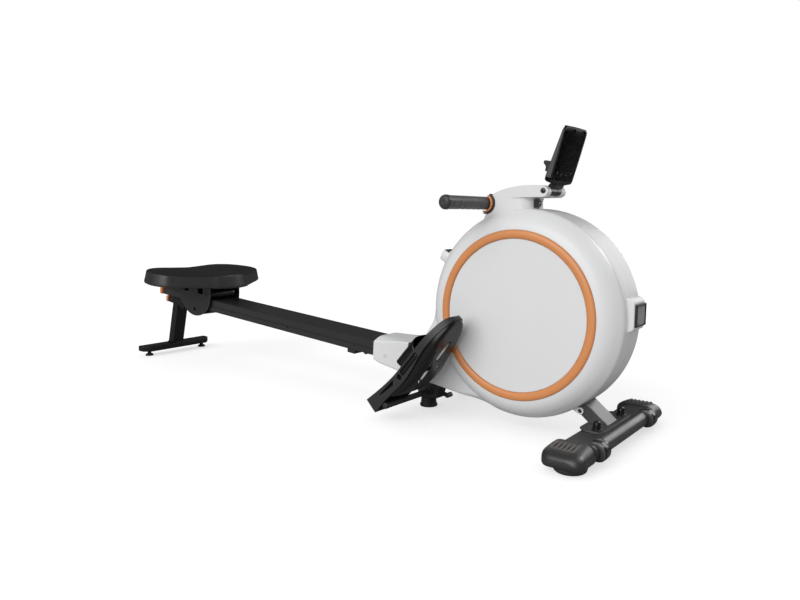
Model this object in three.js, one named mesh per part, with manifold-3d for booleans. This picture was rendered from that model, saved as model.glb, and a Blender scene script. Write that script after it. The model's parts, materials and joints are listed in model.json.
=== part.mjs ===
// Folding magnetic rowing machine, in millimetres, +Z up.
// +X points to the drum end, -Y to the rower's right. Origin: middle of the footprint, on the floor.
import * as THREE from 'three';
import { mergeVertices } from 'three/addons/utils/BufferGeometryUtils.js';
import Module from 'manifold-3d';

// ---------- driving dimensions ----------
const fit = 0.3; // running and seating clearance between two pieces

const drumRadius = 257;
const floorGap = 40; // from the floor to the underside of the drum
const drum = {
  z: floorGap + drumRadius, radius: drumRadius, rimHalf: 46, halfWidth: 89, faceRadius: drumRadius - 50,
    wall: 4,
};
const drumTop = drum.z + drum.radius;
const drumRear = -drum.radius;
const ring = { inner: drum.faceRadius - 21, outer: drum.faceRadius, sunk: 2, proud: 5 };
const tail = { halfWidth: 66, bottomSlope: 0.1368, bottom: 53, wall: 4 };
const railSlope = THREE.MathUtils.degToRad(4.45); // the rail rises to the rear
const fold = { x: drumRear - 83, z: 180, depth: 9.5, barrel: 6.2, pin: 3.7, lugIn: 22, lugOut: 28 };
const rail = {
  halfWidth: 55.75, top: -14.5, height: 43, split: 23.5, front: -16, rear: -1222, step: 38, wall: 3,
    lip: 8.75,
};
const sleeve = { halfWidth: rail.halfWidth + 8.25, mouth: -127.6, wall: 3 };
const stopBlock = { from: -241, to: -210, halfWidth: 50, height: 13 };
const stand = {
  foot: fold.x + rail.rear - 16, postX: 36, postY: 47, barTop: 39, barBottom: 18, barHalf: 148,
    barWidth: 56,
};
const saddle = { rear: rail.rear + 39, length: 105, thickness: 3 };
const level = { padRadius: 15, stud: 4, y: stand.barHalf - 30, studTop: 30 };
const carriage = { plateIn: rail.halfWidth + 6.25, plate: 3, top: 30, seatBase: 3.4 };
const roller = { radius: 17.2, half: rail.halfWidth - 5.75, journal: 5, front: -935, rear: -1093 };
const keeper = { radius: 8, half: roller.half, journal: 4, x: -1003 };
const seatSize = { skirt: 28, height: 47, inset: 8 };
const flywheel = { x: 60, z: drum.z - 47, radius: 140, rim: 28, near: 14, far: 34, web: 8 };
const spool = { x: -75, z: drum.z + 103, radius: 30, flange: 34, half: 13 };
const beltDrive = { large: 80, small: 20, near: -36, far: -22, thickness: 2 };
const axleRadius = 6;
const framePlate = { near: 39, far: 43 };
const guide = { x: -30, z: drumTop - 1, radius: 14, half: 16, journal: 4 };
const strap = { width: 22, thickness: 1.6 };
const gripRadius = 17;
const handle = {
  x: -106, z: drumTop + 14, half: 226.5, grip: gripRadius, tube: gripRadius - 6, hub: gripRadius + 1.6,
    hubHalf: 30,
};
const cradle = { half: 47, liner: handle.hub + 0.4, edge: handle.hub + 4.4, outer: handle.hub + 7.9 };
const neck = { halfWidth: 48, wall: 3.5, forkIn: 28 };
const holder = {
  x: 50, z: drumTop + 41, lean: THREE.MathUtils.degToRad(16.7), barrel: 11, trunnion: 5, halfWidth: 59,
};
const holderPlate = { back: 15.4, bottom: 28.6, height: 125.3, thick: 15, thin: 5 };
const knob = {
  angle: THREE.MathUtils.degToRad(152), radius: 27.5, shaft: 7.7, seat: drum.radius + 2.5, height: 35.5,
};
const magnet = { gap: 4, thick: 12, reach: 15, from: 150, to: 215, pivotRadius: flywheel.radius + 25,
  pin: 4 };
const pedal = {
  x: fold.x + 89, z: 133, rake: THREE.MathUtils.degToRad(48.5), near: drum.halfWidth + 14, width: 112,
    wall: 4,
};
const pedalFar = pedal.near + pedal.width;
const pedalStrap = { from: 18, to: 80, thickness: 3, height: 41, inset: 8 };
const crossbar = { x: fold.x + 40, z: 48.5, radius: 8.5, half: pedalFar - 1 };
const middleFoot = { x: fold.x + 25, radius: 25, topRadius: 21, height: 28 };
const leg = { width: 50, height: 32, wall: 2.5, slope: THREE.MathUtils.degToRad(-38.8), x: 192.7, z: 56 };
const legPlate = { rear: 168, front: 236, half: 92, thickness: 4 };
const endCap = { rear: 165, front: 262, bottom: 10, top: 60, half: 250, length: 65, round: 9 };
const beam = { rear: 178, front: 260, bottom: 18, top: 54, half: endCap.half - endCap.length };
const wheel = { x: 250, z: 34, radius: 22, y: beam.half - 32, half: 10, pin: 4 };
const vent = {
  base: drum.radius - 5, front: drum.radius + 14.5, bottom: drum.z - 21.5, top: drum.z + 58, halfWidth: 34,
  frameHalf: 30, frameLow: drum.z - 8, frameHigh: drum.z + 43, floor: drum.radius + 5, grille: 5.5,
};
const lockPin = { x: fold.x + 8, z: 145, radius: 4, tip: 24, knobFrom: 75, knobTo: 92, knobRadius: 12 };

const rearEnd = stand.foot - stand.barWidth / 2;
const frontEnd = vent.front + vent.grille;
const shift = -(rearEnd + frontEnd) / 2; // from the drum's centre to the middle of the footprint

// ---------- solids ----------
const wasm = await Module();
wasm.setup();

function solidOf(geometry) {
  const bare = geometry.clone();
  bare.deleteAttribute('normal');
  bare.deleteAttribute('uv');
  const merged = mergeVertices(bare, 1e-3);
  const index = merged.index.array;
  const triangles = [];
  for (let i = 0; i < index.length; i += 3) {
    const corner = [index[i], index[i + 1], index[i + 2]];
    if (new Set(corner).size === 3) triangles.push(...corner);
  }
  return new wasm.Manifold(new wasm.Mesh({
    numProp: 3,
    vertProperties: merged.attributes.position.array,
    triVerts: Uint32Array.from(triangles),
  }));
}

function geometryOf(solid) {
  const mesh = solid.getMesh();
  const geometry = new THREE.BufferGeometry();
  geometry.setAttribute('position', new THREE.BufferAttribute(mesh.vertProperties, 3));
  geometry.setIndex(new THREE.BufferAttribute(mesh.triVerts, 1));
  geometry.computeVertexNormals();
  return geometry;
}

// The same solid after a three.js matrix.
function moved(solid, matrix) {
  return solidOf(geometryOf(solid).applyMatrix4(matrix));
}

const middle = ([low, high]) => (low + high) / 2;
const length = ([low, high]) => high - low;

function box(x, y, z) {
  const geometry = new THREE.BoxGeometry(length(x), length(y), length(z));
  geometry.translate(middle(x), middle(y), middle(z));
  return solidOf(geometry);
}

// A span on one side of the middle plane: side -1 is the rower's right, +1 the left.
function span(side, near, far) {
  return side < 0 ? [-far, -near] : [near, far];
}

// A polygon whose corners may carry a radius: [u, v] or [u, v, radius].
function outline(corners) {
  const shape = new THREE.Shape();
  const count = corners.length;
  corners.forEach(([u, v, radius = 0], i) => {
    const here = new THREE.Vector2(u, v);
    const towards = ([x, y]) => new THREE.Vector2(x, y).sub(here).normalize();
    const before = towards(corners[(i + count - 1) % count]);
    const after = towards(corners[(i + 1) % count]);
    const start = here.clone().addScaledVector(before, radius);
    const end = here.clone().addScaledVector(after, radius);
    if (i === 0) shape.moveTo(start.x, start.y);
    else shape.lineTo(start.x, start.y);
    if (radius > 0) shape.quadraticCurveTo(u, v, end.x, end.y);
  });
  shape.closePath();
  return shape;
}

const toSide = new THREE.Matrix4().makeRotationX(Math.PI / 2);
const toCross = new THREE.Matrix4().makeBasis(
  new THREE.Vector3(0, 1, 0), new THREE.Vector3(0, 0, 1), new THREE.Vector3(1, 0, 0));

function extruded(corners, depth, curveSegments) {
  return new THREE.ExtrudeGeometry(outline(corners), { depth, bevelEnabled: false, curveSegments });
}

// An X-Z outline, extruded across Y.
function sideSlab(corners, y, curveSegments = 4) {
  const geometry = extruded(corners, length(y), curveSegments);
  geometry.applyMatrix4(toSide);
  geometry.translate(0, y[1], 0);
  return solidOf(geometry);
}

// An X-Y outline, extruded up Z.
function planSlab(corners, z, curveSegments = 4) {
  const geometry = extruded(corners, length(z), curveSegments);
  geometry.translate(0, 0, z[0]);
  return solidOf(geometry);
}

// A Y-Z outline, extruded along X.
function crossSlab(corners, x, curveSegments = 4) {
  const geometry = extruded(corners, length(x), curveSegments);
  geometry.applyMatrix4(toCross);
  geometry.translate(x[0], 0, 0);
  return solidOf(geometry);
}

function turned(profile, segments) {
  return new THREE.LatheGeometry(profile.map(([r, h]) => new THREE.Vector2(r, h)), segments);
}

// A closed [radius, height] profile turned about the Y axis, through (x, z).
function turnedY(profile, x = 0, z = 0, segments = 24) {
  const geometry = turned(profile, segments);
  geometry.translate(x, 0, z);
  return solidOf(geometry);
}

// The same about the Z axis, through (x, y).
function turnedZ(profile, x = 0, y = 0, segments = 24) {
  const geometry = turned(profile, segments);
  geometry.applyMatrix4(toSide);
  geometry.translate(x, y, 0);
  return solidOf(geometry);
}

function rodY(radius, y, x, z, segments = 16) {
  const geometry = new THREE.CylinderGeometry(radius, radius, length(y), segments);
  geometry.translate(x, middle(y), z);
  return solidOf(geometry);
}

function rodX(radius, x, y, z, segments = 16) {
  const geometry = new THREE.CylinderGeometry(radius, radius, length(x), segments);
  geometry.rotateZ(-Math.PI / 2);
  geometry.translate(middle(x), y, z);
  return solidOf(geometry);
}

// A closed ring profile for turnedY: from inner to outer radius, low to high.
function ringProfile(inner, outer, low, high) {
  return [[inner, low], [outer, low], [outer, high], [inner, high], [inner, low]];
}

// ---------- finishes ----------
function finish(color, roughness, metalness) {
  return new THREE.MeshStandardMaterial({ color, roughness, metalness });
}
const whitePlastic = finish(0xdadbdc, 0.42, 0);
const orangePlastic = finish(0xd98a4e, 0.4, 0);
const blackPlastic = finish(0x1c1c1d, 0.45, 0);
const greyPlastic = finish(0x3b3b3d, 0.5, 0);
const blackPaint = finish(0x2a2b2c, 0.4, 0.3);
const railMetal = finish(0x37383a, 0.38, 0.7);
const steel = finish(0x9a9c9e, 0.3, 0.9);
const castIron = finish(0x55575a, 0.5, 0.8);
const rubber = finish(0x151515, 0.8, 0);
const foam = finish(0x222325, 0.85, 0);
const vinyl = finish(0x202124, 0.55, 0);
const webbing = finish(0x1a1a1c, 0.9, 0);

// ---------- assembly ----------
const machine = new THREE.Group();
machine.position.set(shift, 0, 0);

// Everything on the rail is drawn square to it, from the fold pin's axis.
const railGroup = new THREE.Group();
railGroup.position.set(fold.x, 0, fold.z);
railGroup.rotation.set(0, railSlope, 0);
machine.add(railGroup);

const holderGroup = new THREE.Group();
holderGroup.position.set(holder.x, 0, holder.z);
holderGroup.rotation.set(0, holder.lean, 0);
machine.add(holderGroup);

function add(name, solid, material, parent = machine) {
  const mesh = new THREE.Mesh(geometryOf(solid), material);
  mesh.name = name;
  parent.add(mesh);
  return mesh;
}

const sides = [['right', -1], ['left', 1]];

// A point of the rail's own frame, in the machine's frame.
function fromRail(x, z) {
  const cos = Math.cos(railSlope);
  const sin = Math.sin(railSlope);
  return [fold.x + x * cos + z * sin, fold.z - x * sin + z * cos];
}
const railMatrix = new THREE.Matrix4().makeRotationY(railSlope).setPosition(fold.x, 0, fold.z);

// ---------- sloping front leg ----------
const legDirection = [Math.cos(leg.slope), Math.sin(leg.slope)];
const legMatrix = new THREE.Matrix4().makeRotationY(-leg.slope).setPosition(leg.x, 0, leg.z);
const legUpper = -72;
const legLower = 30;
const socketReach = 28;
const legSocket = { width: leg.width - 2 * leg.wall - 2 * fit,
  height: leg.height - 2 * leg.wall - 2 * fit };

function legBeam(width, height, x) {
  return moved(box(x, [-width / 2, width / 2], [-height / 2, height / 2]), legMatrix);
}

function frontLeg() {
  const tube = legBeam(leg.width, leg.height, [legUpper, legLower])
    .subtract(box([100, 300], [-60, 60], [-20, beam.top + fit]))
    .subtract(legBeam(leg.width - 2 * leg.wall, leg.height - 2 * leg.wall,
      [legUpper - 5, legUpper + socketReach + 10]));
  const plateTop = beam.top + fit + legPlate.thickness;
  const plate = sideSlab([
    [legPlate.rear, beam.top + fit], [legPlate.front, beam.top + fit],
    [legPlate.front, plateTop, 2], [legPlate.rear, plateTop, 2],
  ], [-legPlate.half, legPlate.half]);
  return tube.add(plate);
}
add('front_leg', frontLeg(), blackPaint);

// ---------- main frame, hidden in the housing ----------
// A rectangular beam between two X-Z points.
function beamBetween(from, to, width, height) {
  const run = Math.hypot(to[0] - from[0], to[1] - from[1]);
  const slope = Math.atan2(to[1] - from[1], to[0] - from[0]);
  const matrix = new THREE.Matrix4().makeRotationY(-slope).setPosition(from[0], 0, from[1]);
  return moved(box([0, run], [-width / 2, width / 2], [-height / 2, height / 2]), matrix);
}

const spine = { width: 50, height: 28, z: 90, front: 120 };

function mainFrame() {
  const rearEndOfSpine = [fold.x + 34, fold.z - 52];
  const bend = [-118, spine.z];
  const frontOfSpine = [spine.front, spine.z];
  let frame = beamBetween(rearEndOfSpine, bend, spine.width, spine.height);
  frame = frame.add(beamBetween([bend[0] - 6, bend[1]], frontOfSpine, spine.width, spine.height));
  frame = frame.add(legBeam(legSocket.width, legSocket.height, [legUpper - 18, legUpper + socketReach]));
  const plate = [
    [-112, 78], [105, 78], [98, 120], [88, flywheel.z, 10], [60, flywheel.z + 35, 12], [18, drum.z + 33],
    [-6, spool.z + 30], [-10, drumTop + 12], [-58, drumTop + 12], [-72, drumTop - 54], [-104, spool.z + 40],
    [-114, spool.z - 20], [-114, 150],
  ];
  for (const [, side] of sides) frame = frame.add(sideSlab(plate, span(side, framePlate.near,
    framePlate.far)));
  const across = [-framePlate.far, framePlate.far];
  frame = frame.add(box([-110, -90], across, [78, 102]));
  frame = frame.add(box([84, 102], across, [78, 102]));
  frame = frame.add(box([-70, -60], across, [drumTop - 49, drumTop - 29]));
  const lug = [
    [-5.5, -2], [-4.4, 4], [-1.5, 5.9], [2, 5.7], [4.6, 4], [6, 1], [7.5, -2.5], [58, -38], [58, -74],
    [36, -74],
  ].map(([x, z]) => [fold.x + x, fold.z + z]);
  for (const [, side] of sides) frame = frame.add(sideSlab(lug, span(side, fold.lugIn, fold.lugOut)));
  frame = frame.add(rodY(axleRadius + 6, [-spine.width / 2, spine.width / 2], pedal.x, pedal.z));
  frame = frame.subtract(rodY(axleRadius + fit, [-60, 60], pedal.x, pedal.z));
  frame = frame.subtract(rodY(fold.pin + fit, [-60, 60], fold.x, fold.z));
  frame = frame.subtract(rodY(lockPin.radius + fit, [fold.lugIn - 1, fold.lugOut + 1], lockPin.x,
    lockPin.z));
  for (const [x, z, radius] of [
    [flywheel.x, flywheel.z, axleRadius], [spool.x, spool.z, axleRadius],
    [guide.x, guide.z, guide.journal], [magnetPivot()[0], magnetPivot()[1], magnet.pin],
  ]) {
    frame = frame.subtract(rodY(radius + fit, [-60, 60], x, z));
  }
  return frame;
}

function magnetPivot() {
  const angle = THREE.MathUtils.degToRad(magnet.to);
  return [flywheel.x + magnet.pivotRadius * Math.cos(angle),
    flywheel.z + magnet.pivotRadius * Math.sin(angle)];
}
add('main_frame', mainFrame(), blackPaint);

// ---------- housing: two moulded shells that meet on the middle plane ----------
// Half of the drum's profile, from the middle of its face to the middle of its rim.
function drumProfile(inset) {
  const shoulder = [
    [drum.radius - 35, drum.halfWidth - 4], [drum.radius - 17, drum.halfWidth - 17.5],
    [drum.radius - 5, drum.rimHalf + 11.5],
  ];
  const half = [
    [0, drum.halfWidth - inset], [drum.faceRadius - inset / 2, drum.halfWidth - inset],
    ...shoulder.map(([r, y]) => [r - inset * 0.7, y - inset * 0.8]),
    [drum.radius - inset, drum.rimHalf - inset / 2],
  ];
  const low = half.map(([r, y]) => [r, -y]);
  return [...low, ...half.reverse()];
}

const drumSides = 40; // flats round the drum

const tailBottom = (x) => tail.bottom - tail.bottomSlope * (x + 33);
const seamX = (z) => fold.x + (z - fold.z) * Math.tan(railSlope);

// The tail: full width low down, and no wider than the rim where its back climbs the drum.
function tailSlabs(inset) {
  const top = fold.z + fold.depth - inset;
  const low = tailBottom(seamX(95)) + inset;
  const rear = inset > 0 ? -30 : fit;
  const over = inset * 0.9; // a wall leans, so its inner face steps back by less
  const overDrum = (x, z) => [drumRear + x + over, drum.z + z];
  const overFold = (x, z) => [drumRear + x + over, fold.z + z - over];
  const below = [
    [drumRear - 49, fold.z + 17 - inset], [drumRear - 65, fold.z + 11 - inset], [seamX(top) + rear, top],
    [seamX(low) + rear, low], [-33, tail.bottom + inset], [0, tail.bottom + 7], [0, drum.z],
  ];
  const wide = [
    [drumRear + 57, drum.z + 3], overDrum(17, -12), overFold(7, 75 + over), overFold(-5, 48),
    overFold(-21, 30),
    ...below,
  ];
  const narrow = [
    [drumRear + 57, drum.z + 103], overDrum(25, 93), overDrum(6, 33), overDrum(-0.5, -14),
    overFold(-6, 75 + over), overFold(-15, 53), overFold(-29, 31), ...below,
  ];
  const narrowHalf = drum.rimHalf + 4 - inset;
  return sideSlab(narrow, [-narrowHalf, narrowHalf])
    .add(sideSlab(wide, [inset - tail.halfWidth, tail.halfWidth - inset]));
}

function housing() {
  const centre = [0, drum.z];
  let shell = turnedY(drumProfile(0), ...centre, drumSides);
  shell = shell.add(tailSlabs(0));
  const hollow = turnedY(drumProfile(drum.wall), ...centre, drumSides).add(tailSlabs(tail.wall));
  shell = shell.subtract(hollow);
  for (const [, side] of sides) {
    const y = span(side, drum.halfWidth - ring.sunk, drum.halfWidth + 5);
    const profile = ringProfile(ring.inner - fit, ring.outer - fit - 0.4, y[0], y[1]);
    shell = shell.subtract(turnedY(profile, ...centre, drumSides));
  }
  const groove = fold.depth + 0.7; // the sleeve's upper edge turns down into this groove
  const across = [-tail.halfWidth - 1, tail.halfWidth + 1];
  shell = shell.subtract(rodY(groove, across, fold.x, fold.z));
  shell = shell.subtract(box([fold.x - 8, fold.x + groove], across, [fold.z, fold.z + 20]));
  shell = shell.subtract(box(
    [-76, 0], [-framePlate.far - 1.5, framePlate.far + 1.5], [drumTop - 34, drumTop + 16]));
  shell = shell.subtract(legBeam(leg.width + 0.8, leg.height + 0.8, [-90, 20]));
  shell = shell.subtract(knobRod(knob.shaft + fit, [drum.radius - 27, drum.radius + 5]));
  shell = shell.subtract(ventHole(vent.base - 17, vent.floor));
  shell = shell.subtract(rodY(axleRadius + fit, across, pedal.x, pedal.z));
  shell = shell.subtract(rodY(lockPin.radius + fit, [30, tail.halfWidth + 1], lockPin.x, lockPin.z));
  return shell;
}

const knobMatrix = new THREE.Matrix4().makeRotationY(Math.PI / 2 - knob.angle).setPosition(0, 0, drum.z);

function knobRod(radius, z) {
  return moved(turnedZ([[0, z[0]], [radius, z[0]], [radius, z[1]], [0, z[1]]], 0, 0, 24), knobMatrix);
}

function ventHole(from, to) {
  return box([from, to], [4 - vent.frameHalf, vent.frameHalf - 4], [vent.frameLow + 3, vent.frameHigh - 3]);
}

const bothHalves = housing();
for (const [word, side] of sides) {
  const half = box(
    [fold.x - 60, frontEnd + 23], span(side, fit / 2, drum.halfWidth + 31), [0, drumTop + 66]);
  add(`housing_${word}`, bothHalves.intersect(half), whitePlastic);
  const base = drum.halfWidth - ring.sunk + fit;
  const crown = drum.halfWidth + ring.proud;
  const mid = (ring.inner + ring.outer) / 2;
  const profile = [
    [ring.inner, base], [ring.outer - 0.8, base], [ring.outer - 0.8, crown - 3], [mid + 5, crown],
    [mid - 5, crown],
    [ring.inner, crown - 3], [ring.inner, base],
  ];
  const facing = side > 0 ? profile : profile.map(([r, y]) => [r, -y]).reverse();
  add(`trim_ring_${word}`, turnedY(facing, 0, drum.z, drumSides), orangePlastic);
}

// ---------- neck on top of the drum, with its fork and the handle's cradle ----------
function neckShroud() {
  const aboveDrum = ([x, z, radius = 0]) => [x, drumTop + z, radius];
  const body = [
    [-110, -24], [-87, 36.5, 5], [-60, 48], [-30, 54], [2, 56], [30, 55.4], [48, 52.5, 4], [48, 29],
    [26, 25, 4], [26, -14],
  ].map(aboveDrum);
  const arms = [
    [15, 55], [48, 52.5], [60, 47, 4], [66, 38, 5], [58, 30, 4], [30, 27], [15, 27],
  ].map(aboveDrum);
  const hollow = [
    [-75, -54], [-75, 36], [-58, 43.5], [-30, 49.5], [2, 52], [22, 51.5], [22, -54],
  ].map(aboveDrum);
  const across = [-neck.halfWidth, neck.halfWidth];
  let shell = sideSlab(body, across);
  for (const [, side] of sides) shell = shell.add(sideSlab(arms, span(side, neck.forkIn, neck.halfWidth)));
  shell = shell.subtract(sideSlab(hollow, [neck.wall - neck.halfWidth, neck.halfWidth - neck.wall]));
  shell = shell.subtract(box([26, 80], [-neck.forkIn, neck.forkIn], [drumTop + 16, drumTop + 66]));
  shell = shell.subtract(rodY(drum.radius + fit, [-60, 60], 0, drum.z, drumSides));
  shell = shell.subtract(rodY(cradle.outer + fit, [-60, 60], handle.x, handle.z, 32));
  shell = shell.subtract(box([-90, -60], [-strapSlot, strapSlot], [handle.z - 5.5, handle.z + 5.5]));
  for (const [, side] of sides) {
    shell = shell.subtract(rodY(holder.trunnion + fit, span(side, neck.forkIn - 1, 41.5), holder.x,
      holder.z));
  }
  return shell;
}
const strapSlot = 14;
add('neck_shroud', neckShroud(), whitePlastic);

// A C-shaped band of the cradle, open to the rear and the top.
function cradleBand(inner, outer) {
  const from = THREE.MathUtils.degToRad(-95);
  const to = THREE.MathUtils.degToRad(45);
  const steps = 10;
  const arc = (radius) => Array.from({ length: steps + 1 }, (_, i) => {
    const angle = from + (to - from) * i / steps;
    return [handle.x + radius * Math.cos(angle), handle.z + radius * Math.sin(angle)];
  });
  const band = sideSlab([...arc(outer), ...arc(inner).reverse()], [-cradle.half, cradle.half]);
  return band.subtract(box([-95, -60], [-strapSlot, strapSlot], [handle.z - 5, handle.z + 5]));
}
add('cradle_edge', cradleBand(cradle.edge + fit, cradle.outer), blackPlastic);
add('cradle_liner', cradleBand(cradle.liner, cradle.edge), orangePlastic);

// ---------- vent on the front of the drum ----------
function ventBox() {
  const side = [
    [vent.base - 8, vent.bottom], [drum.radius, vent.bottom], [vent.front, vent.bottom + 6, 4],
    [vent.front, vent.top - 7, 4],
    [drum.radius, vent.top], [vent.base - 8, vent.top],
  ];
  return sideSlab(side, [-vent.halfWidth, vent.halfWidth])
    .subtract(rodY(drum.radius + fit, [-60, 60], 0, drum.z, drumSides))
    .subtract(box([vent.floor, vent.front + 18], [-vent.frameHalf - fit, vent.frameHalf + fit],
      [vent.frameLow - fit, vent.frameHigh + fit]))
    .subtract(ventHole(vent.base - 12, vent.floor + 2));
}
add('vent_box', ventBox(), whitePlastic);

function ventGrille() {
  let grille = box([vent.floor + fit, frontEnd], [-vent.frameHalf, vent.frameHalf],
    [vent.frameLow, vent.frameHigh]);
  const bars = 4;
  const border = 4;
  const pitch = (vent.frameHigh - vent.frameLow - border) / bars;
  for (let i = 0; i < bars; i += 1) {
    const low = vent.frameLow + border + i * pitch;
    grille = grille.subtract(box([vent.floor - 7, frontEnd + 13], [border - vent.frameHalf,
      vent.frameHalf - border],
      [low, low + pitch - border]));
  }
  return grille;
}
add('vent_grille', ventGrille(), blackPlastic);

// ---------- drive: flywheel, belt, spool and strap ----------
function flywheelSolid() {
  const { radius, rim, near, far, web } = flywheel;
  const centre = (near + far) / 2;
  const profile = [
    [axleRadius + fit, beltDrive.near], [beltDrive.small, beltDrive.near],
    [beltDrive.small, beltDrive.far], [12, beltDrive.far],
    [12, centre - web / 2], [radius - rim, centre - web / 2], [radius - rim, near], [radius, near],
    [radius, far],
    [radius - rim, far], [radius - rim, centre + web / 2], [12, centre + web / 2], [12, far + 2],
    [axleRadius + fit, far + 2], [axleRadius + fit, beltDrive.near],
  ];
  return turnedY(profile, flywheel.x, flywheel.z, 32);
}
add('flywheel', flywheelSolid(), castIron);

const axleEnds = [-framePlate.far, framePlate.far];
add('flywheel_axle', rodY(axleRadius, axleEnds, flywheel.x, flywheel.z), steel);
add('spool_axle', rodY(axleRadius, axleEnds, spool.x, spool.z), steel);

function drivePulley() {
  const { large, near, far } = beltDrive;
  const profile = [
    [axleRadius + fit, near], [14, near], [14, -31], [large - 8, -31], [large - 8, near], [large, near],
    [large, far],
    [axleRadius + fit, far], [axleRadius + fit, near],
  ];
  return turnedY(profile, spool.x, spool.z, 32);
}
add('drive_pulley', drivePulley(), blackPlastic);

// The space inside a belt that runs round both pulleys, grown outwards.
function beltLoop(grow, y) {
  const a = new THREE.Vector2(spool.x, spool.z);
  const b = new THREE.Vector2(flywheel.x, flywheel.z);
  const large = beltDrive.large + grow;
  const small = beltDrive.small + grow;
  const run = b.clone().sub(a);
  const turn = Math.acos((large - small) / run.length());
  const heading = run.angle();
  const tangent = (centre, radius, sign) => [
    centre.x + radius * Math.cos(heading + sign * turn),
      centre.y + radius * Math.sin(heading + sign * turn),
  ];
  const quad = [tangent(a, large, -1), tangent(b, small, -1), tangent(b, small, 1), tangent(a, large, 1)];
  return rodY(large, y, spool.x, spool.z, 32).add(rodY(small, y, flywheel.x, flywheel.z,
    20)).add(sideSlab(quad, y));
}
const beltY = [beltDrive.near + 1, beltDrive.far - 1];
const beltInside = beltLoop(0.8, [beltY[0] - 5, beltY[1] + 5]);
add('drive_belt', beltLoop(0.8 + beltDrive.thickness, beltY).subtract(beltInside), rubber);

function strapSpool() {
  const { radius, flange, half } = spool;
  const profile = [
    [axleRadius + fit, -half], [flange, -half], [flange, 2 - half], [radius, 2 - half],
    [radius, half - 2], [flange, half - 2],
    [flange, half], [axleRadius + fit, half], [axleRadius + fit, -half],
  ];
  return turnedY(profile, spool.x, spool.z, 24);
}
add('strap_spool', strapSpool(), blackPlastic);
const springY = [spool.half + fit, spool.half + 15];
add('return_spring', turnedY(ringProfile(axleRadius + fit, 27, ...springY), spool.x, spool.z, 24), steel);

function guideRoller() {
  const { radius, half, journal } = guide;
  const end = framePlate.far - 0.5;
  return turnedY([
    [0, -end], [journal, -end], [journal, -half], [radius + 3, -half], [radius + 3, 2 - half - 0.5],
    [radius, 2 - half],
    [radius, half - 2], [radius + 3, half - 1.5], [radius + 3, half], [journal, half], [journal, end],
    [0, end],
  ], guide.x, guide.z, 20);
}
add('guide_roller', guideRoller(), steel);

// The strap runs from the handle's clip over the guide roller and down to the spool.
function pullStrap() {
  const half = strap.thickness / 2;
  const over = guide.radius + fit + half;
  const wound = spool.radius + fit + half;
  const path = [[clipX[1] + fit, guide.z + over], [guide.x, guide.z + over]];
  for (const degrees of [72, 54, 36, 18, 0]) {
    const angle = THREE.MathUtils.degToRad(degrees);
    path.push([guide.x + over * Math.cos(angle), guide.z + over * Math.sin(angle)]);
  }
  path.push([spool.x + wound, spool.z]);
  const offset = (sign) => path.map((point, i) => {
    const before = path[Math.max(i - 1, 0)];
    const after = path[Math.min(i + 1, path.length - 1)];
    const normal = new THREE.Vector2(before[1] - after[1], after[0] - before[0]).normalize();
    return [point[0] + sign * half * normal.x, point[1] + sign * half * normal.y];
  });
  return sideSlab([...offset(1), ...offset(-1).reverse()], [-strap.width / 2, strap.width / 2]);
}
const clipX = [handle.x + handle.hub + fit, handle.x + handle.hub + 16];
add('pull_strap', pullStrap(), webbing);

// ---------- handle ----------
function handleBar() {
  const { half, tube, hub, hubHalf } = handle;
  return turnedY([
    [0, 3 - half], [tube, 3 - half], [tube, -hubHalf], [hub, 3 - hubHalf], [hub, hubHalf - 3],
    [tube, hubHalf],
    [tube, half - 3], [0, half - 3],
  ], handle.x, handle.z, 24);
}
add('handle_bar', handleBar(), blackPlastic);
for (const [word, side] of sides) {
  const inner = handle.hubHalf + 1;
  const profile = [
    [handle.tube + fit, inner], [handle.grip - 1, inner], [handle.grip, inner + 60],
    [handle.grip, handle.half - 14],
    [handle.grip + 1, handle.half - 12], [handle.grip + 1, handle.half - 3], [handle.grip - 2, handle.half],
    [8, handle.half], [8, handle.half - 3 + fit], [handle.tube + fit, handle.half - 3 + fit],
    [handle.tube + fit, inner],
  ];
  const facing = side > 0 ? profile : profile.map(([r, y]) => [r, -y]).reverse();
  add(`grip_${word}`, turnedY(facing, handle.x, handle.z, 24), foam);
}
add('strap_clip', box(clipX, [-12.5, 12.5], [handle.z - 4, handle.z + 4]), blackPlastic);

// ---------- resistance knob and the magnet arm it moves ----------
function knobSolid() {
  const { radius, shaft, seat, height } = knob;
  const top = seat + height;
  const inside = drum.radius - 17;
  const profile = [
    [0, inside], [shaft, inside], [shaft, seat], [radius - 1, seat], [radius, seat + 3],
    [radius - 1.5, top - 6], [radius - 6, top],
    [0, top],
  ];
  return moved(turnedZ(profile, 0, 0, 28), knobMatrix);
}
add('resistance_knob', knobSolid(), whitePlastic);

function magnetArm() {
  const inner = flywheel.radius + magnet.gap;
  const outer = inner + magnet.thick;
  const from = THREE.MathUtils.degToRad(magnet.from);
  const to = THREE.MathUtils.degToRad(magnet.to);
  const steps = 8;
  const arc = (radius) => Array.from({ length: steps + 1 }, (_, i) => {
    const angle = from + (to - from) * i / steps;
    return [flywheel.x + radius * Math.cos(angle), flywheel.z + radius * Math.sin(angle)];
  });
  const cheek = 3;
  const low = flywheel.near - 0.5 - cheek;
  const high = flywheel.far + 0.5 + cheek;
  let arm = sideSlab([...arc(outer), ...arc(inner).reverse()], [low, high]);
  const cheekOutline = [...arc(outer), ...arc(inner - magnet.reach).reverse()];
  arm = arm.add(sideSlab(cheekOutline, [low, low + cheek]));
  arm = arm.add(sideSlab(cheekOutline, [high - cheek, high]));
  const [x, z] = magnetPivot();
  arm = arm.add(rodY(magnet.pin + 6, [low, high], x, z));
  return arm.add(rodY(magnet.pin, [-framePlate.far + 0.5, framePlate.far - 0.5], x, z));
}
add('magnet_arm', magnetArm(), greyPlastic);

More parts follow.
